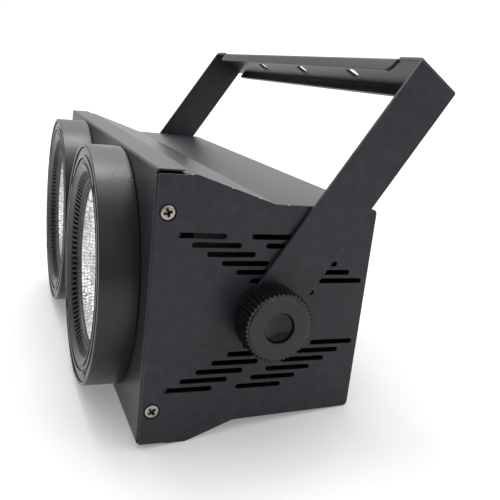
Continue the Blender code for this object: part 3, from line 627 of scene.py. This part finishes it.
def make_front_panel():
    """The shallow front tray, with its rim folded back on all four sides."""
    across = Path([(-TRAY_HALF, -TRAY_DEPTH), (-TRAY_HALF, 0.0), (TRAY_HALF, 0.0),
                   (TRAY_HALF, -TRAY_DEPTH)], [TRAY_FOLD, TRAY_FOLD])
    up = Path([(-TRAY_BOTTOM, -TRAY_DEPTH), (-TRAY_BOTTOM, 0.0), (TRAY_TOP, 0.0),
               (TRAY_TOP, -TRAY_DEPTH)], [TRAY_FOLD, TRAY_FOLD])
    far_x, far_z = across.length / 2, up.length / 2
    middle = (TRAY_TOP - TRAY_BOTTOM) / 2
    fold_x, fold_z = TRAY_HALF - TRAY_FOLD, TRAY_TOP - middle - TRAY_FOLD
    rim_end = TRAY_HALF - 1.0
    quarter = [(far_x, fold_z - TRAY_RELIEF), (fold_x, fold_z - TRAY_RELIEF), (fold_x, fold_z),
               (rim_end, fold_z), (rim_end, far_z)]
    outline = []
    for side_x, side_z in ((1, 1), (-1, 1), (-1, -1), (1, -1)):
        corner = [(x * side_x, z * side_z) for x, z in quarter]
        outline += corner if side_x * side_z > 0 else corner[::-1]
    holes = [circle((EYE_X * side, -middle), EYE_OPENING, 96) for side in (1, -1)]
    blank = slab(outline, holes, FRONT_SHEET, 0.25)
    divide(blank, 0, [cut - far_x for cut in across.bends()])
    divide(blank, 1, [cut - far_z for cut in up.bends()])

    def placed(x, z, depth):
        if abs(z) > fold_z - TRAY_RELIEF / 2:
            spot, out = up.at(z + far_z)
            return x, -(spot.y - out.y * depth), spot.x - out.x * depth
        spot, out = across.at(x + far_x)
        return spot.x - out.x * depth, -(spot.y - out.y * depth), z + middle

    add("front_panel_shell", bend(blank, placed), CHARCOAL, STANCE, ["front_panel"])


def side_outline():
    """The side plate's outline as (y, z), anticlockwise from its lower front corner."""
    front = 1.0
    shoulder = TRAY_DEPTH + GAP
    low = HALF_HEIGHT - PLATE_STEP
    corners = [(front, -low, 0.5), (shoulder, -low, 0), (shoulder + 1.5, -HALF_HEIGHT, 0)]
    corners += [(BOTTOM_FOLD_Y, -HALF_HEIGHT, FOLD_RADIUS), (*BOTTOM_SLOPE_END, SLOPE_RADIUS)]
    corners += [(DEPTH, BOTTOM_BACK_Z, BACK_CORNER), (DEPTH, TOP_BACK_Z, BACK_CORNER)]
    corners += [(*TOP_SLOPE_END, SLOPE_RADIUS), (TOP_FOLD_Y, HALF_HEIGHT, FOLD_RADIUS)]
    corners += [(shoulder + 1.5, HALF_HEIGHT, 0), (shoulder, low, 0), (front, low, 0.5)]
    return rounded(corners)


def vent_slots():
    """The stepped rows of slots in a side plate, mirrored above and below its middle."""
    slots = []
    for row in range(SLOT_ROWS):
        for column in (0, 1):
            for half in (1, -1):
                left = SLOT_FIRST[0] + row * SLOT_STEP[0] + column * SLOT_COLUMN
                height = half * (SLOT_FIRST[1] + row * SLOT_STEP[1])
                slots.append(slot(left, height, SLOT_LENGTH, SLOT_HEIGHT))
    return slots


def make_side_plate(suffix, side):
    holes = vent_slots()
    holes.append(circle((PIVOT_Y, 0.0), BOLT_HOLE))
    holes.append(circle(SMALL_HOLE, SMALL_HOLE_RADIUS, 20))
    sinks = [((SCREW_Y, height), *SCREW_SINK) for height in (SCREW_Z, -SCREW_Z)]
    plate = slab(side_outline(), holes, SIDE_SHEET, 0.22, sinks)
    bend(plate, lambda y, z, depth: (side * (HALF_WIDTH - depth), y, z))
    name = "side_plate_" + suffix
    add(name + "_sheet", plate, CHARCOAL, STANCE, [name])


def make_nibs(suffix, side):
    """Small bright nibs that the laser left along the side plate's edge."""
    edge = Path([(TRAY_DEPTH, HALF_HEIGHT), (TOP_FOLD_Y, HALF_HEIGHT), TOP_SLOPE_END,
                 (DEPTH - BACK_CORNER, TOP_BACK_Z)], [FOLD_RADIUS, SLOPE_RADIUS])
    nibs = []
    for place in NIB_PLACES:
        spot, _ = edge.at(place)
        nib = bmesh.new()
        bmesh.ops.create_uvsphere(nib, u_segments=10, v_segments=6, radius=1.0)
        bmesh.ops.scale(nib, vec=NIB_SIZE, verts=nib.verts)
        nibs.append(moved(nib, (side * (HALF_WIDTH - 0.15), spot.x, spot.y - 0.1)))
    add("edge_nibs_" + suffix, joined(*nibs), ZINC, STANCE)


def make_rear_cover():
    """One sheet folded over the top, the back and the bottom, with its cut-outs, and the
    filter pads behind its vents."""
    front = TRAY_DEPTH + 0.08
    profile = Path([(front, HALF_HEIGHT), (TOP_FOLD_Y, HALF_HEIGHT), TOP_SLOPE_END,
                    (DEPTH, TOP_BACK_Z), (DEPTH, BOTTOM_BACK_Z), BOTTOM_SLOPE_END,
                    (BOTTOM_FOLD_Y, -HALF_HEIGHT), (front, -HALF_HEIGHT)],
                   [FOLD_RADIUS, SLOPE_RADIUS, BACK_CORNER, BACK_CORNER, SLOPE_RADIUS, FOLD_RADIUS])
    level = profile.station((DEPTH, 0.0))
    holes = [box_outline(*PANEL_OPENING, 1.0)]
    for x in (POWER_IN_X, POWER_OUT_X, DMX_IN_X, DMX_OUT_X):
        holes.append(circle((x, SOCKET_Z), SOCKET_HOLE))
    holes.append(circle((FUSE_X, SOCKET_Z), FUSE_HOLE))
    for side in (1, -1):
        for row in range(VENT_ROWS):
            left, height = EYE_X * side - VENT_LENGTH / 2, VENT_LOWEST + VENT_PITCH * row
            holes.append(slot(left, height, VENT_LENGTH, VENT_HEIGHT))
    holes = [[(x, level - z) for x, z in hole] for hole in holes]
    outline = [(-TRAY_HALF, 0.0), (TRAY_HALF, 0.0)]
    outline += [(x, profile.length) for x in (TRAY_HALF, -TRAY_HALF)]
    blank = slab(outline, holes, COVER_SHEET, 0.15)
    divide(blank, 1, profile.bends())

    def placed(x, along, depth):
        spot, out = profile.at(along)
        return x, spot.x - out.x * depth, spot.y - out.y * depth

    add("rear_cover_sheet", bend(blank, placed), CHARCOAL, STANCE, ["rear_cover"])
    for suffix, side in SIDES:
        corners = [(EYE_X * side + x, z) for x, z in FILTER]
        pad = slab(box_outline(*corners, 2.0), [], FILTER_THICKNESS)
        bend(pad, lambda x, z, depth: (x, DEPTH - COVER_SHEET - 0.4 - depth, z))
        add("vent_filter_" + suffix, pad, FOAM, STANCE)


def screw_head(radius, depth, arm, width):
    """A domed head with a cross recess, facing +Z from the plane z = 0 down to z = -depth. arm
    is the cross's reach and width is half the width of its arms."""
    mesh = bmesh.new()
    wear_and_recess_shade = mesh.verts.layers.float.new("wear_and_recess_shade")
    cross = []
    for quarter in range(4):
        for reach, offset in ((arm, -width), (arm, width), (width * 1.25, width * 1.25)):
            turn = math.radians(90 * quarter)
            x = reach * math.cos(turn) - offset * math.sin(turn)
            cross.append((x, reach * math.sin(turn) + offset * math.cos(turn)))
    rim = circle((0, 0), 1.0, 36)
    dome = [(0.70, 0.0), (0.86, -0.03 * radius), (0.96, -0.08 * radius), (1.0, -0.16 * radius)]
    rings = []
    for share, height in dome + [(0.62, -depth)]:
        ring = [(x * radius * share, y * radius * share, height) for x, y in rim]
        rings.append([mesh.verts.new(point) for point in ring])
    pits = []
    # The cross recess is marked so that the nickel material paints shade into it, darkest in its
    # pits.
    for share, height in ((1.0, 0.02), (0.92, -0.15), (0.45, -0.55 * depth)):
        pits.append([mesh.verts.new((x * share, y * share, height)) for x, y in cross])
        for vertex in pits[-1]:
            vertex[wear_and_recess_shade] = 1.0 if height < 0 else 0.25
    fill(mesh, [rings[0], pits[0]])
    fill(mesh, [rings[-1]])
    fill(mesh, [pits[-1]])
    for near, far in list(zip(rings, rings[1:])) + list(zip(pits, pits[1:])):
        ring_faces(mesh, near, far)
    return mesh


def make_side_screw(suffix, side, height, turn):
    head = moved(screw_head(**SIDE_HEAD), turn=turn, axis="Z")
    near, end = side * (HALF_WIDTH - 1.9), side * (HALF_WIDTH - 12.0)
    shank = lathe([(near, 0.0), (near, SHANK_RADIUS), (end, SHANK_RADIUS), (end, 0.0)], 20, "x")
    moved(head, (side * (HALF_WIDTH + 0.1), SCREW_Y, height), 90 * side)
    moved(shank, (0.0, SCREW_Y, height))
    name = f"side_screw_{suffix}_" + ("upper" if height > 0 else "lower")
    add(name + "_head", joined(head, shank), NICKEL, STANCE, [name])


# ---------------- eyes

def make_eye(suffix, side):
    """A bezel, its front ring, the slotted baffle, the glass and the reflector."""
    front = BEZEL_FRONT
    ledge, ledge_back, foot = front + 5.0, front + 7.4, -3.3
    place = STANCE @ Matrix.Translation((EYE_X * side * MM, 0.0, 0.0))
    bezel = [(-GAP, BEZEL_OUTER, 0.4), (front, BEZEL_OUTER, 0.9), (front, BEZEL_BORE, 0.4)]
    bezel += [(ledge, BEZEL_BORE, 0.5), (ledge, BEZEL_LEDGE, 0.3), (ledge_back, BEZEL_LEDGE, 0.3)]
    bezel += [(ledge_back, BEZEL_INNER, 0.5), (foot, BEZEL_INNER, 0.5), (foot, BEZEL_FOOT, 0.3)]
    bezel.append((-GAP, BEZEL_FOOT, 0.3))
    add(f"bezel_{suffix}_turned", lathe(rounded(bezel), EYE_STEPS), BEZEL, place,
        ["bezel_" + suffix])

    def notched(along, radius, angle):
        """Four small notches for the clips, across the ring's raised edge."""
        for notch in CLIP_TURNS:
            near = abs(math.degrees(angle) - notch) < CLIP_HALF_TURN
            if near and abs(radius - RING_STEP) < 1.0:
                return front + 2.3 + 0.15 * (along - front), radius
        return along, radius

    step, crest, back = front + 1.0, front + 0.1, front + 4.7
    ring = [(back, RING_OUTER, 0.3), (step, RING_OUTER, 0.25), (step, RING_STEP, 0.15)]
    ring += [(crest, RING_STEP, 0.25), (crest, RING_INNER, 0.25), (back, RING_INNER, 0.3)]
    add(f"front_ring_{suffix}_turned", lathe(rounded(ring), EYE_STEPS, "y", notched), BEZEL,
        place, ["front_ring_" + suffix])

    baffle = [(back, BAFFLE_OUTER, 0.3), (step, BAFFLE_OUTER, 0.2), (step, BAFFLE_STEP, 0.15)]
    baffle += [(crest, BAFFLE_STEP, 0.25), (crest, BAFFLE_STEP - 0.6, 0.3)]
    baffle += [(front + 2.4, BAFFLE_INNER, 0), (back, BAFFLE_INNER, 0)]
    collar_back = front + 9.1
    collar = [(front + 6.3, COLLAR_OUTER, 0), (front + 6.7, COLLAR_OUTER - 0.6, 0.3)]
    collar += [(collar_back, COLLAR_INNER, 0.2), (collar_back, COLLAR_OUTER, 0.2)]
    collar.append((front + 7.9, COLLAR_OUTER, 0))
    turned = [lathe(rounded(profile), EYE_STEPS) for profile in (baffle, collar)]
    add(f"baffle_ring_{suffix}_slotted", joined(*turned, slotted_cone(front)), BLACK, place,
        ["baffle_ring_" + suffix])

    near, far, radius = -17.2, -15.3, 57.1
    glass = [(near, 0.0, 0.0), (near, radius, 0.4), (far, radius, 0.4), (far, 0.0, 0.0)]
    add(f"glass_{suffix}_disc", lathe(rounded(glass), 96), GLASS, place, ["glass_" + suffix])
    make_reflector(suffix, place)


def slotted_cone(front):
    """The cone of radial slots round the glass. Each band is a radius, and how far the cone's
    face and its back lie behind the bezel's front there."""
    bands = ((64.6, 2.3, 4.6), (64.1, 2.65, 4.6), (59.1, 6.0, 7.5), (58.6, 6.35, 7.9))
    mesh = bmesh.new()
    grid = []
    for step in range(2 * CONE_SLOTS):
        angle = 2 * math.pi * (step // 2 + (CONE_SHARE if step % 2 else 0.0)) / CONE_SLOTS
        column = []
        for radius, near, far in bands:
            spot = (radius * math.cos(angle), radius * math.sin(angle))
            column.append([mesh.verts.new((spot[0], front + y, spot[1])) for y in (near, far)])
        grid.append(column)
    for step in range(2 * CONE_SLOTS):
        here, after = grid[step], grid[(step + 1) % (2 * CONE_SLOTS)]
        open_cell = step % 2 == 0
        for band in range(3):
            if open_cell and band == 1:
                continue
            for level in (0, 1):
                mesh.faces.new((here[band][level], here[band + 1][level],
                                after[band + 1][level], after[band][level]))
        walls = [(here, after, 0), (here, after, 3)]
        if open_cell:
            walls += [(here, after, 1), (here, after, 2)]
        for first, second, band in walls:
            mesh.faces.new((first[band][0], first[band][1], second[band][1], second[band][0]))
        mesh.faces.new((here[1][0], here[1][1], here[2][1], here[2][0]))
    return mesh


def make_reflector(suffix, place):
    """A bright bowl whose inside is peened into shallow dimples, coarser in the rows that are
    nearest to its mouth."""
    mouth, back = -15.0, 33.7
    wide, throat, flange, sheet = 55.0, 13.0, 58.6, 1.0
    rows, rim_rows, steps = 24, 3, 128
    inner = []
    outer = []
    for row in range(rows + 1):
        share = row / rows
        along = mouth + (back - mouth) * share
        radius = math.sqrt(throat ** 2 + (1.0 - share) * (wide ** 2 - throat ** 2))
        inner.append((along, radius))
        outer.append((along + sheet * (1 - share), radius + sheet))
    profile = inner + outer[::-1] + [(mouth + sheet, flange), (mouth, flange)]
    bowl = lathe(profile, steps)
    bmesh.ops.recalc_face_normals(bowl, faces=bowl.faces)
    dice = random.Random(7)
    bowl.faces.ensure_lookup_table()
    bowl.verts.index_update()
    rim_cells = bowl.faces[:rim_rows * steps]
    deep_cells = bowl.faces[rim_rows * steps:rows * steps]
    for cells, depth, spread in ((rim_cells, 0.80, 0.32), (deep_cells, 0.38, 0.18)):
        corners = {vertex.index: vertex for face in cells for vertex in face.verts}
        for vertex in corners.values():
            if mouth + 0.5 < vertex.co.y < back - 0.5:
                vertex.co += Vector([dice.uniform(-spread, spread) for _ in range(3)])
        pits = bmesh.ops.poke(bowl, faces=cells, offset=-depth, use_relative_offset=False)["verts"]
        for vertex in pits:
            vertex.co += Vector([dice.uniform(-spread, spread) for _ in range(3)])
    add(f"reflector_{suffix}_peened", bowl, MIRROR, place, ["reflector_" + suffix], smooth=0.0)


# ---------------- yoke and knobs

def make_yoke():
    """The U strap with its two folded lips, bent from one flat blank."""
    half = YOKE_HALF_WIDTH
    fold = half - YOKE_BEND
    strap = Path([(-YOKE_HALF_SPAN, -half), (-YOKE_HALF_SPAN, YOKE_REACH),
                  (YOKE_HALF_SPAN, YOKE_REACH), (YOKE_HALF_SPAN, -half)], [YOKE_BEND, YOKE_BEND])
    section = Path([(-half, -LIP_DEPTH_FRONT), (-half, 0.0), (half, 0.0), (half, -LIP_DEPTH_REAR)],
                   [YOKE_BEND, YOKE_BEND])
    middle = section.station((0.0, 0.0))
    far = strap.length / 2
    front_edge, rear_edge = middle, section.length - middle

    def half_lip(way, end, edge, radius):
        relief = end + RELIEF_WIDTH
        return [(far - half, way * half, 0), (relief, way * half, 0.6), (relief, way * fold, 0),
                (end, way * fold, 0), (end, way * edge, radius)]

    rear = half_lip(1, LIP_END_REAR, rear_edge, 3.0)
    face = half_lip(-1, LIP_END_FRONT, front_edge, 7.0)
    corners = rear + [(-x, y, r) for x, y, r in reversed(rear)]
    corners += [(-x, y, r) for x, y, r in face] + list(reversed(face))
    outline = rounded(corners, 6)
    ends = []
    for point in outline:
        ends.append(point)
        if abs(point[0] + (far - half)) < 0.01 and point[1] > 0:
            ends += arc((-(far - half), 0.0), half, 90, 270, 24)[1:-1]
    ends += arc((far - half, 0.0), half, -90, 90, 24)[1:-1]
    holes = [circle((CLAMP_HOLE_PITCH * place, 0.0), CLAMP_HOLE_RADIUS, 40) for place in (-1, 0, 1)]
    holes += [circle((side * (far - half), 0.0), BOLT_HOLE) for side in (1, -1)]
    blank = slab(ends, holes, YOKE_SHEET, 0.3)
    divide(blank, 0, [cut - far for cut in strap.bends()])
    divide(blank, 1, [cut - middle for cut in section.bends()])

    def placed(x, y, depth):
        lip_end = LIP_END_REAR if y > 0 else LIP_END_FRONT
        level, across = -depth, y
        if abs(x) < lip_end + RELIEF_WIDTH / 2:
            spot, out = section.at(y + middle)
            across, level = spot.x - out.x * depth, spot.y - out.y * depth
        spot, out = strap.at(x + far)
        return spot.x + out.x * level, across, spot.y + out.y * level

    add("yoke_strap", bend(blank, placed), CHARCOAL, YOKE_PLACE, ["yoke"], "yoke")


def make_knob(suffix, side):
    """A fluted hand knob with a thin ring round its face, its bolt, and a dished glossy insert
    in its recess."""
    back, face, rim = KNOB_BACK, KNOB_FACE, KNOB_RADIUS
    profile = [(BOLT_END, 0.0), (BOLT_END, BOLT_RADIUS - 1.0), (BOLT_END + 1.0, BOLT_RADIUS)]
    profile += [(back, BOLT_RADIUS), (back, rim - 2.6), (back + 0.9, rim - 1.6), (back + 1.6, rim)]
    profile += [(face - 2.4, rim), (face - 0.9, rim - 0.7), (face - 0.9, rim - 2.6)]
    profile += [(face - 0.2, rim - 2.9), (face, rim - 3.2)]
    profile += [(face, KNOB_RECESS + 0.5), (face - 0.15, KNOB_RECESS + 0.15)]
    profile += [(face - 0.5, KNOB_RECESS), (face - 4.6, KNOB_RECESS - 0.2), (face - 4.6, 0.0)]
    grooved = {rim: 1.5, rim - 0.7: 1.4, rim - 1.6: 0.4}

    def fluted(along, radius, angle):
        wave = (angle * KNOB_TEETH / (2 * math.pi)) % 1.0
        cut = abs(2 * wave - 1)
        return side * along, radius - grooved.get(radius, 0.0) * cut

    knob = lathe(profile, 6 * KNOB_TEETH, "x", fluted)
    place = STANCE @ Matrix.Translation((0.0, PIVOT_Y * MM, 0.0))
    name = "tilt_knob_" + suffix
    add(name + "_fluted", knob, KNOB, place, [name], "knob_" + suffix, 28.0)
    dish = [(face - 5.0, 0.0), (face - 5.0, INSERT_RADIUS), (face - 2.3, INSERT_RADIUS)]
    dish.append((face - 2.1, INSERT_RADIUS - 0.4))
    for share in (0.9, 0.75, 0.6, 0.45, 0.3, 0.15, 0.0):
        dish.append((face - 4.0 + 1.8 * share * share, 8.2 * share))
    dish = [(side * along, radius) for along, radius in dish]
    add(name + "_insert", lathe(dish, 48, "x"), GLOSS, place, (), "knob_" + suffix)


# ---------------- back

def back_place(x, z):
    """Housing-frame place on the back for a piece drawn facing +Y round its own origin."""
    return STANCE @ Matrix.Translation((x * MM, FACE * MM, z * MM))


def plate_on_back(outline, holes, thickness, edge=0.3):
    """A plate on the back whose outer face is thickness above the sheet."""
    return bend(slab(outline, holes, thickness, edge), lambda x, z, depth: (x, thickness - depth, z))


def small_screws(spots, height):
    """Heads at (x, z) spots on a plate whose outer face is height above the sheet."""
    heads = []
    for number, (x, z) in enumerate(spots):
        head = moved(screw_head(**SMALL_HEAD), turn=25 + 40 * number, axis="Z")
        heads.append(moved(head, (x, height + 0.8, z), -90, "X"))
    return heads


def make_socket(name, x, material, contacts):
    """A flanged round socket with its contacts or core inside, and two screws."""
    bore = circle((0, 0), SOCKET_BORE, 48)
    flange = plate_on_back(box_outline((-13, -15.5), (13, 15.5), 2.5), [bore], PLATE)
    barrel = [(SOCKET_FLOOR, 0.0, 0), (SOCKET_FLOOR, SOCKET_BORE, 0.3), (2.6, SOCKET_BORE, 0.3)]
    barrel += [(2.6, 11.6, 0.4), (1.0, 11.8, 0), (SOCKET_END, 11.8, 0.4), (SOCKET_END, 0.0, 0)]
    whole = joined(flange, lathe(rounded(barrel), 48), *contacts)
    place = back_place(x, SOCKET_Z)
    add(name + "_socket", whole, material, place, [name])
    screws = small_screws(((-10.2, 12.7), (10.2, -12.7)), PLATE)
    add(name + "_screws", joined(*screws), NICKEL, place)


def rod(x, z, low, high, radius, tip=0.3):
    """A round rod along Y whose outer end is rounded by tip."""
    profile = [(low, 0.0, 0), (low, radius, 0), (high, radius, tip), (high, 0.0, 0)]
    return moved(lathe(rounded(profile), 20), (x, 0.0, z))


def make_sockets():
    floor = SOCKET_FLOOR
    spots = [arc((0, 0), PIN_CIRCLE, turn, turn, 1)[0] for turn in (90, 210, 330)]
    pins = [rod(x, z, floor - 1.0, floor + 7.5, 1.25, 0.8) for x, z in spots]
    make_socket("dmx_in", DMX_IN_X, BLACK, pins)
    core = [(floor - 0.5, 0.0, 0), (floor - 0.5, 7.2, 0), (0.9, 7.2, 0.8), (0.9, 0.0, 0)]
    make_socket("dmx_out", DMX_OUT_X, BLACK, [lathe(rounded(core), 48)])
    wells = [rod(x, z, 0.2, 1.05, 1.5, 0.2) for x, z in spots]
    add("dmx_out_contacts", joined(*wells), ZINC, back_place(DMX_OUT_X, SOCKET_Z))
    for name, x, material in (("power_in", POWER_IN_X, BLUE), ("power_out", POWER_OUT_X, GREY)):
        keys = []
        for turn in (0, 120, 240):
            key = plate_on_back(box_outline((-1.6, 8.6), (1.6, 10.7), 0.3), [], 9.0, 0.25)
            keys.append(moved(key, (0.0, -10.0, 0.0), turn + 20))
        for turn in (60, 180, 300):
            spot = arc((0, 0), BLADE_CIRCLE, turn, turn, 1)[0]
            blade = plate_on_back(box_outline((-0.5, -1.8), (0.5, 1.8), 0.2), [], 6.0, 0.15)
            keys.append(moved(blade, (spot[0], floor - 0.5, spot[1])))
        make_socket(name, x, material, keys)


def make_fuse():
    """The fuse holder and its ribbed cap."""
    place = back_place(FUSE_X, SOCKET_Z)
    holder = [(-18.0, 0.0, 0), (-18.0, 6.5, 0.3), (0.1, 6.5, 0), (0.1, 9.0, 0), (2.5, 9.0, 0.8)]
    holder += [(2.5, 5.6, 0.2), (-16.0, 5.6, 0), (-16.0, 0.0, 0)]
    add("fuse_holder_body", lathe(rounded(holder), 40), BLACK, place, ["fuse_holder"])

    def ribbed(along, radius, angle):
        wave = 0.25 * (0.5 + 0.5 * math.cos(24 * angle)) if radius > 6.5 and along > 3.5 else 0.0
        return along, radius - wave

    cap = [(-15.5, 0.0, 0), (-15.5, 5.2, 0.4), (2.8, 5.2, 0), (2.8, 7.5, 0.3), (6.0, 7.0, 0.8)]
    cap += [(6.0, 5.6, 0.2), (5.3, 5.2, 0.2), (5.3, 0.0, 0)]
    grip = plate_on_back(box_outline((-5.0, -0.9), (5.0, 0.9), 0.4), [], 1.0, 0.25)
    both = joined(lathe(rounded(cap), 96, "y", ribbed), moved(grip, (0.0, 4.95, 0.0)))
    add("fuse_cap_ribbed", both, BLACK, place, ["fuse_cap"], "fuse_cap")


def make_eyelet():
    """A screwed plate with a round-bar hoop for the safety wire."""
    plate = plate_on_back(box_outline((-17, -7), (17, 7), 2.5), [], PLATE)
    route = [(9.0, 1.0)] + arc((0.0, 5.0), 9.0, 0, 180, 24) + [(-9.0, 1.0)]
    hoop = bmesh.new()
    rings = []
    for number, (x, y) in enumerate(route):
        before = Vector(route[max(number - 1, 0)])
        after = Vector(route[min(number + 1, len(route) - 1)])
        ahead = (after - before).normalized()
        ring = []
        for across, up in circle((0, 0), 2.3, 18):
            ring.append(hoop.verts.new((x + ahead.y * across, y - ahead.x * across, up)))
        rings.append(ring)
    for near, far in zip(rings, rings[1:]):
        ring_faces(hoop, near, far)
    hoop.faces.new(rings[0])
    hoop.faces.new(rings[-1])
    place = back_place(0.0, EYELET_Z)
    add("safety_eyelet_hoop", joined(plate, hoop), ZINC, place, ["safety_eyelet"])
    screws = small_screws(((-14.0, 0.0), (14.0, 0.0)), PLATE)
    add("safety_eyelet_screws", joined(*screws), NICKEL, place)


def make_controls():
    """The operating panel with its dark display window and four push buttons."""
    window = box_outline((-20.3, 27.7), (20.3, 42.3), 0.6)
    holes = [window] + [circle((x, BUTTON_Z), 3.9, 28) for x in BUTTON_X]
    panel = plate_on_back(box_outline((-38, 2), (38, 50), 3.0), holes, 1.4)
    place = back_place(0.0, 0.0)
    add("control_panel_plate", panel, BLACK, place, ["control_panel"])
    pane = slab(box_outline((-20, 28), (20, 42), 0.5), [], 9.0, 0.3)
    bend(pane, lambda x, z, depth: (x, 1.0 - depth, z))
    add("display_window_pane", pane, SMOKED, place, ["display_window"])
    corners = small_screws(((-34.5, 5.5), (34.5, 5.5), (-34.5, 46.5), (34.5, 46.5)), 1.2)
    add("control_panel_screws", joined(*corners), NICKEL, place)
    button = [(3.1, 0.0, 0), (3.1, 3.5, 0.7), (-1.8, 3.5, 0), (-1.8, 5.0, 0), (-3.0, 5.0, 0)]
    button += [(-3.0, 1.6, 0), (-13.6, 1.6, 0), (-13.6, 0.0, 0)]
    for number, x in enumerate(BUTTON_X, start=1):
        name = f"menu_button_{number}"
        add(name + "_cap", lathe(rounded(button), 40), GREY, back_place(x, BUTTON_Z), [name],
            f"button_{number}")


# ---------------- what stays CAD

def dress_cad():
    """Materials for the CAD nodes that stay visible."""
    # The chassis plate takes near-black painted shade in place of its zinc, so the slots read dark.
    looks = {"chassis_plate": CHASSIS_PAINTED_SHADE, "power_supply": ALUMINIUM, "driver_board": BOARD,
             "dmx_out_latch": ZINC}
    in_pairs = {"cob_led": PHOSPHOR, "cob_holder": NYLON, "heat_sink": SINK, "fan_frame": BLACK,
                "fan_rotor": BLACK, "pivot_washer": BLACK, "pivot_nut": ZINC}
    for kind, material in in_pairs.items():
        for suffix, _ in SIDES:
            looks[f"{kind}_{suffix}"] = material
    for node, material in looks.items():
        data = frame["nodes"][node].data
        data.materials.clear()
        data.materials.append(material)


# ---------------- stage

def aimed(name, data, spot, aim, roll=0.0):
    """An object at spot that looks or shines at aim, rolled by degrees."""
    item = into_scene(name, data)
    item.location = spot
    item.rotation_mode = "QUATERNION"
    rolled = Matrix.Rotation(math.radians(roll), 3, "Z").to_quaternion()
    item.rotation_quaternion = (Vector(aim) - Vector(spot)).to_track_quat("-Z", "Y") @ rolled
    return item


def make_backdrop():
    """A pale floor that sweeps up into a backdrop."""
    radius, start, top, half = 1.2, -2.5, 4.0, 4.0
    curve = arc((radius, radius), radius, -90, 0, 16)
    line = [(start, 0.0), (radius, 0.0)] + curve + [(2 * radius, top)]
    turn = Matrix.Rotation(math.radians(69.0), 3, "Z")
    sweep = bmesh.new()
    rows = []
    for y, z in line:
        rows.append([sweep.verts.new(turn @ Vector((x, y, z))) for x in (-half, half)])
    for near, far in zip(rows, rows[1:]):
        sweep.faces.new((near[0], near[1], far[1], far[0]))
    data = bpy.data.meshes.new("backdrop")
    sweep.to_mesh(data)
    sweep.free()
    data.shade_smooth()
    paper = finish("backdrop_paper", (0.70, 0.70, 0.705), 0.9, specular=0.1, grain=0.002,
                   relief=0.01, mottle=0.004)
    glow = paper.node_tree.nodes["Principled BSDF"]
    glow.inputs["Emission Color"].default_value = (1.0, 1.0, 1.0, 1.0)
    glow.inputs["Emission Strength"].default_value = 0.22
    data.materials.append(paper)
    into_scene("backdrop", data)


def make_light():
    """The studio's surroundings, brighter above and to one side, and four soft lamps."""
    world = bpy.data.worlds.new("studio")
    bpy.context.scene.world = world
    nodes = Nodes(world, "Background", "Generated")
    height = nodes.new("ShaderNodeSeparateXYZ", {0: nodes.place}).outputs["Z"]
    facing = nodes.new("ShaderNodeVectorMath", {0: nodes.place, 1: SOFT_SIDE},
                       operation="DOT_PRODUCT").outputs["Value"]
    strength = nodes.times(nodes.between(height, 0.05, 0.9, 0.46, 0.98),
                           nodes.between(facing, -0.9, 0.9, 0.62, 1.30))
    nodes.link(strength, nodes.shader.inputs["Strength"])
    nodes.shader.inputs["Color"].default_value = (0.98, 0.99, 1.0, 1.0)
    for name, spot, aim, size, power in LIGHTS:
        lamp = bpy.data.lights.new(name, "AREA")
        lamp.shape = "DISK"
        lamp.size = size
        lamp.energy = power
        aimed(name, lamp, spot, aim)


def make_camera():
    camera = bpy.data.cameras.new("camera")
    camera.sensor_width = 36.0
    camera.lens = CAMERA_LENS
    camera.clip_start = 0.01
    view = aimed("camera", camera, CAMERA_PLACE, CAMERA_AIM, CAMERA_ROLL)
    bpy.context.scene.camera = view
    bpy.context.scene.view_settings.view_transform = "Standard"


def main():
    make_front_panel()
    make_rear_cover()
    make_yoke()
    for suffix, side in SIDES:
        make_side_plate(suffix, side)
        make_nibs(suffix, side)
        make_side_screw(suffix, side, SCREW_Z, 17.0)
        make_side_screw(suffix, side, -SCREW_Z, 38.0)
        make_eye(suffix, side)
        make_knob(suffix, side)
    make_sockets()
    make_fuse()
    make_eyelet()
    make_controls()
    dress_cad()
    make_backdrop()
    make_light()
    make_camera()


main()
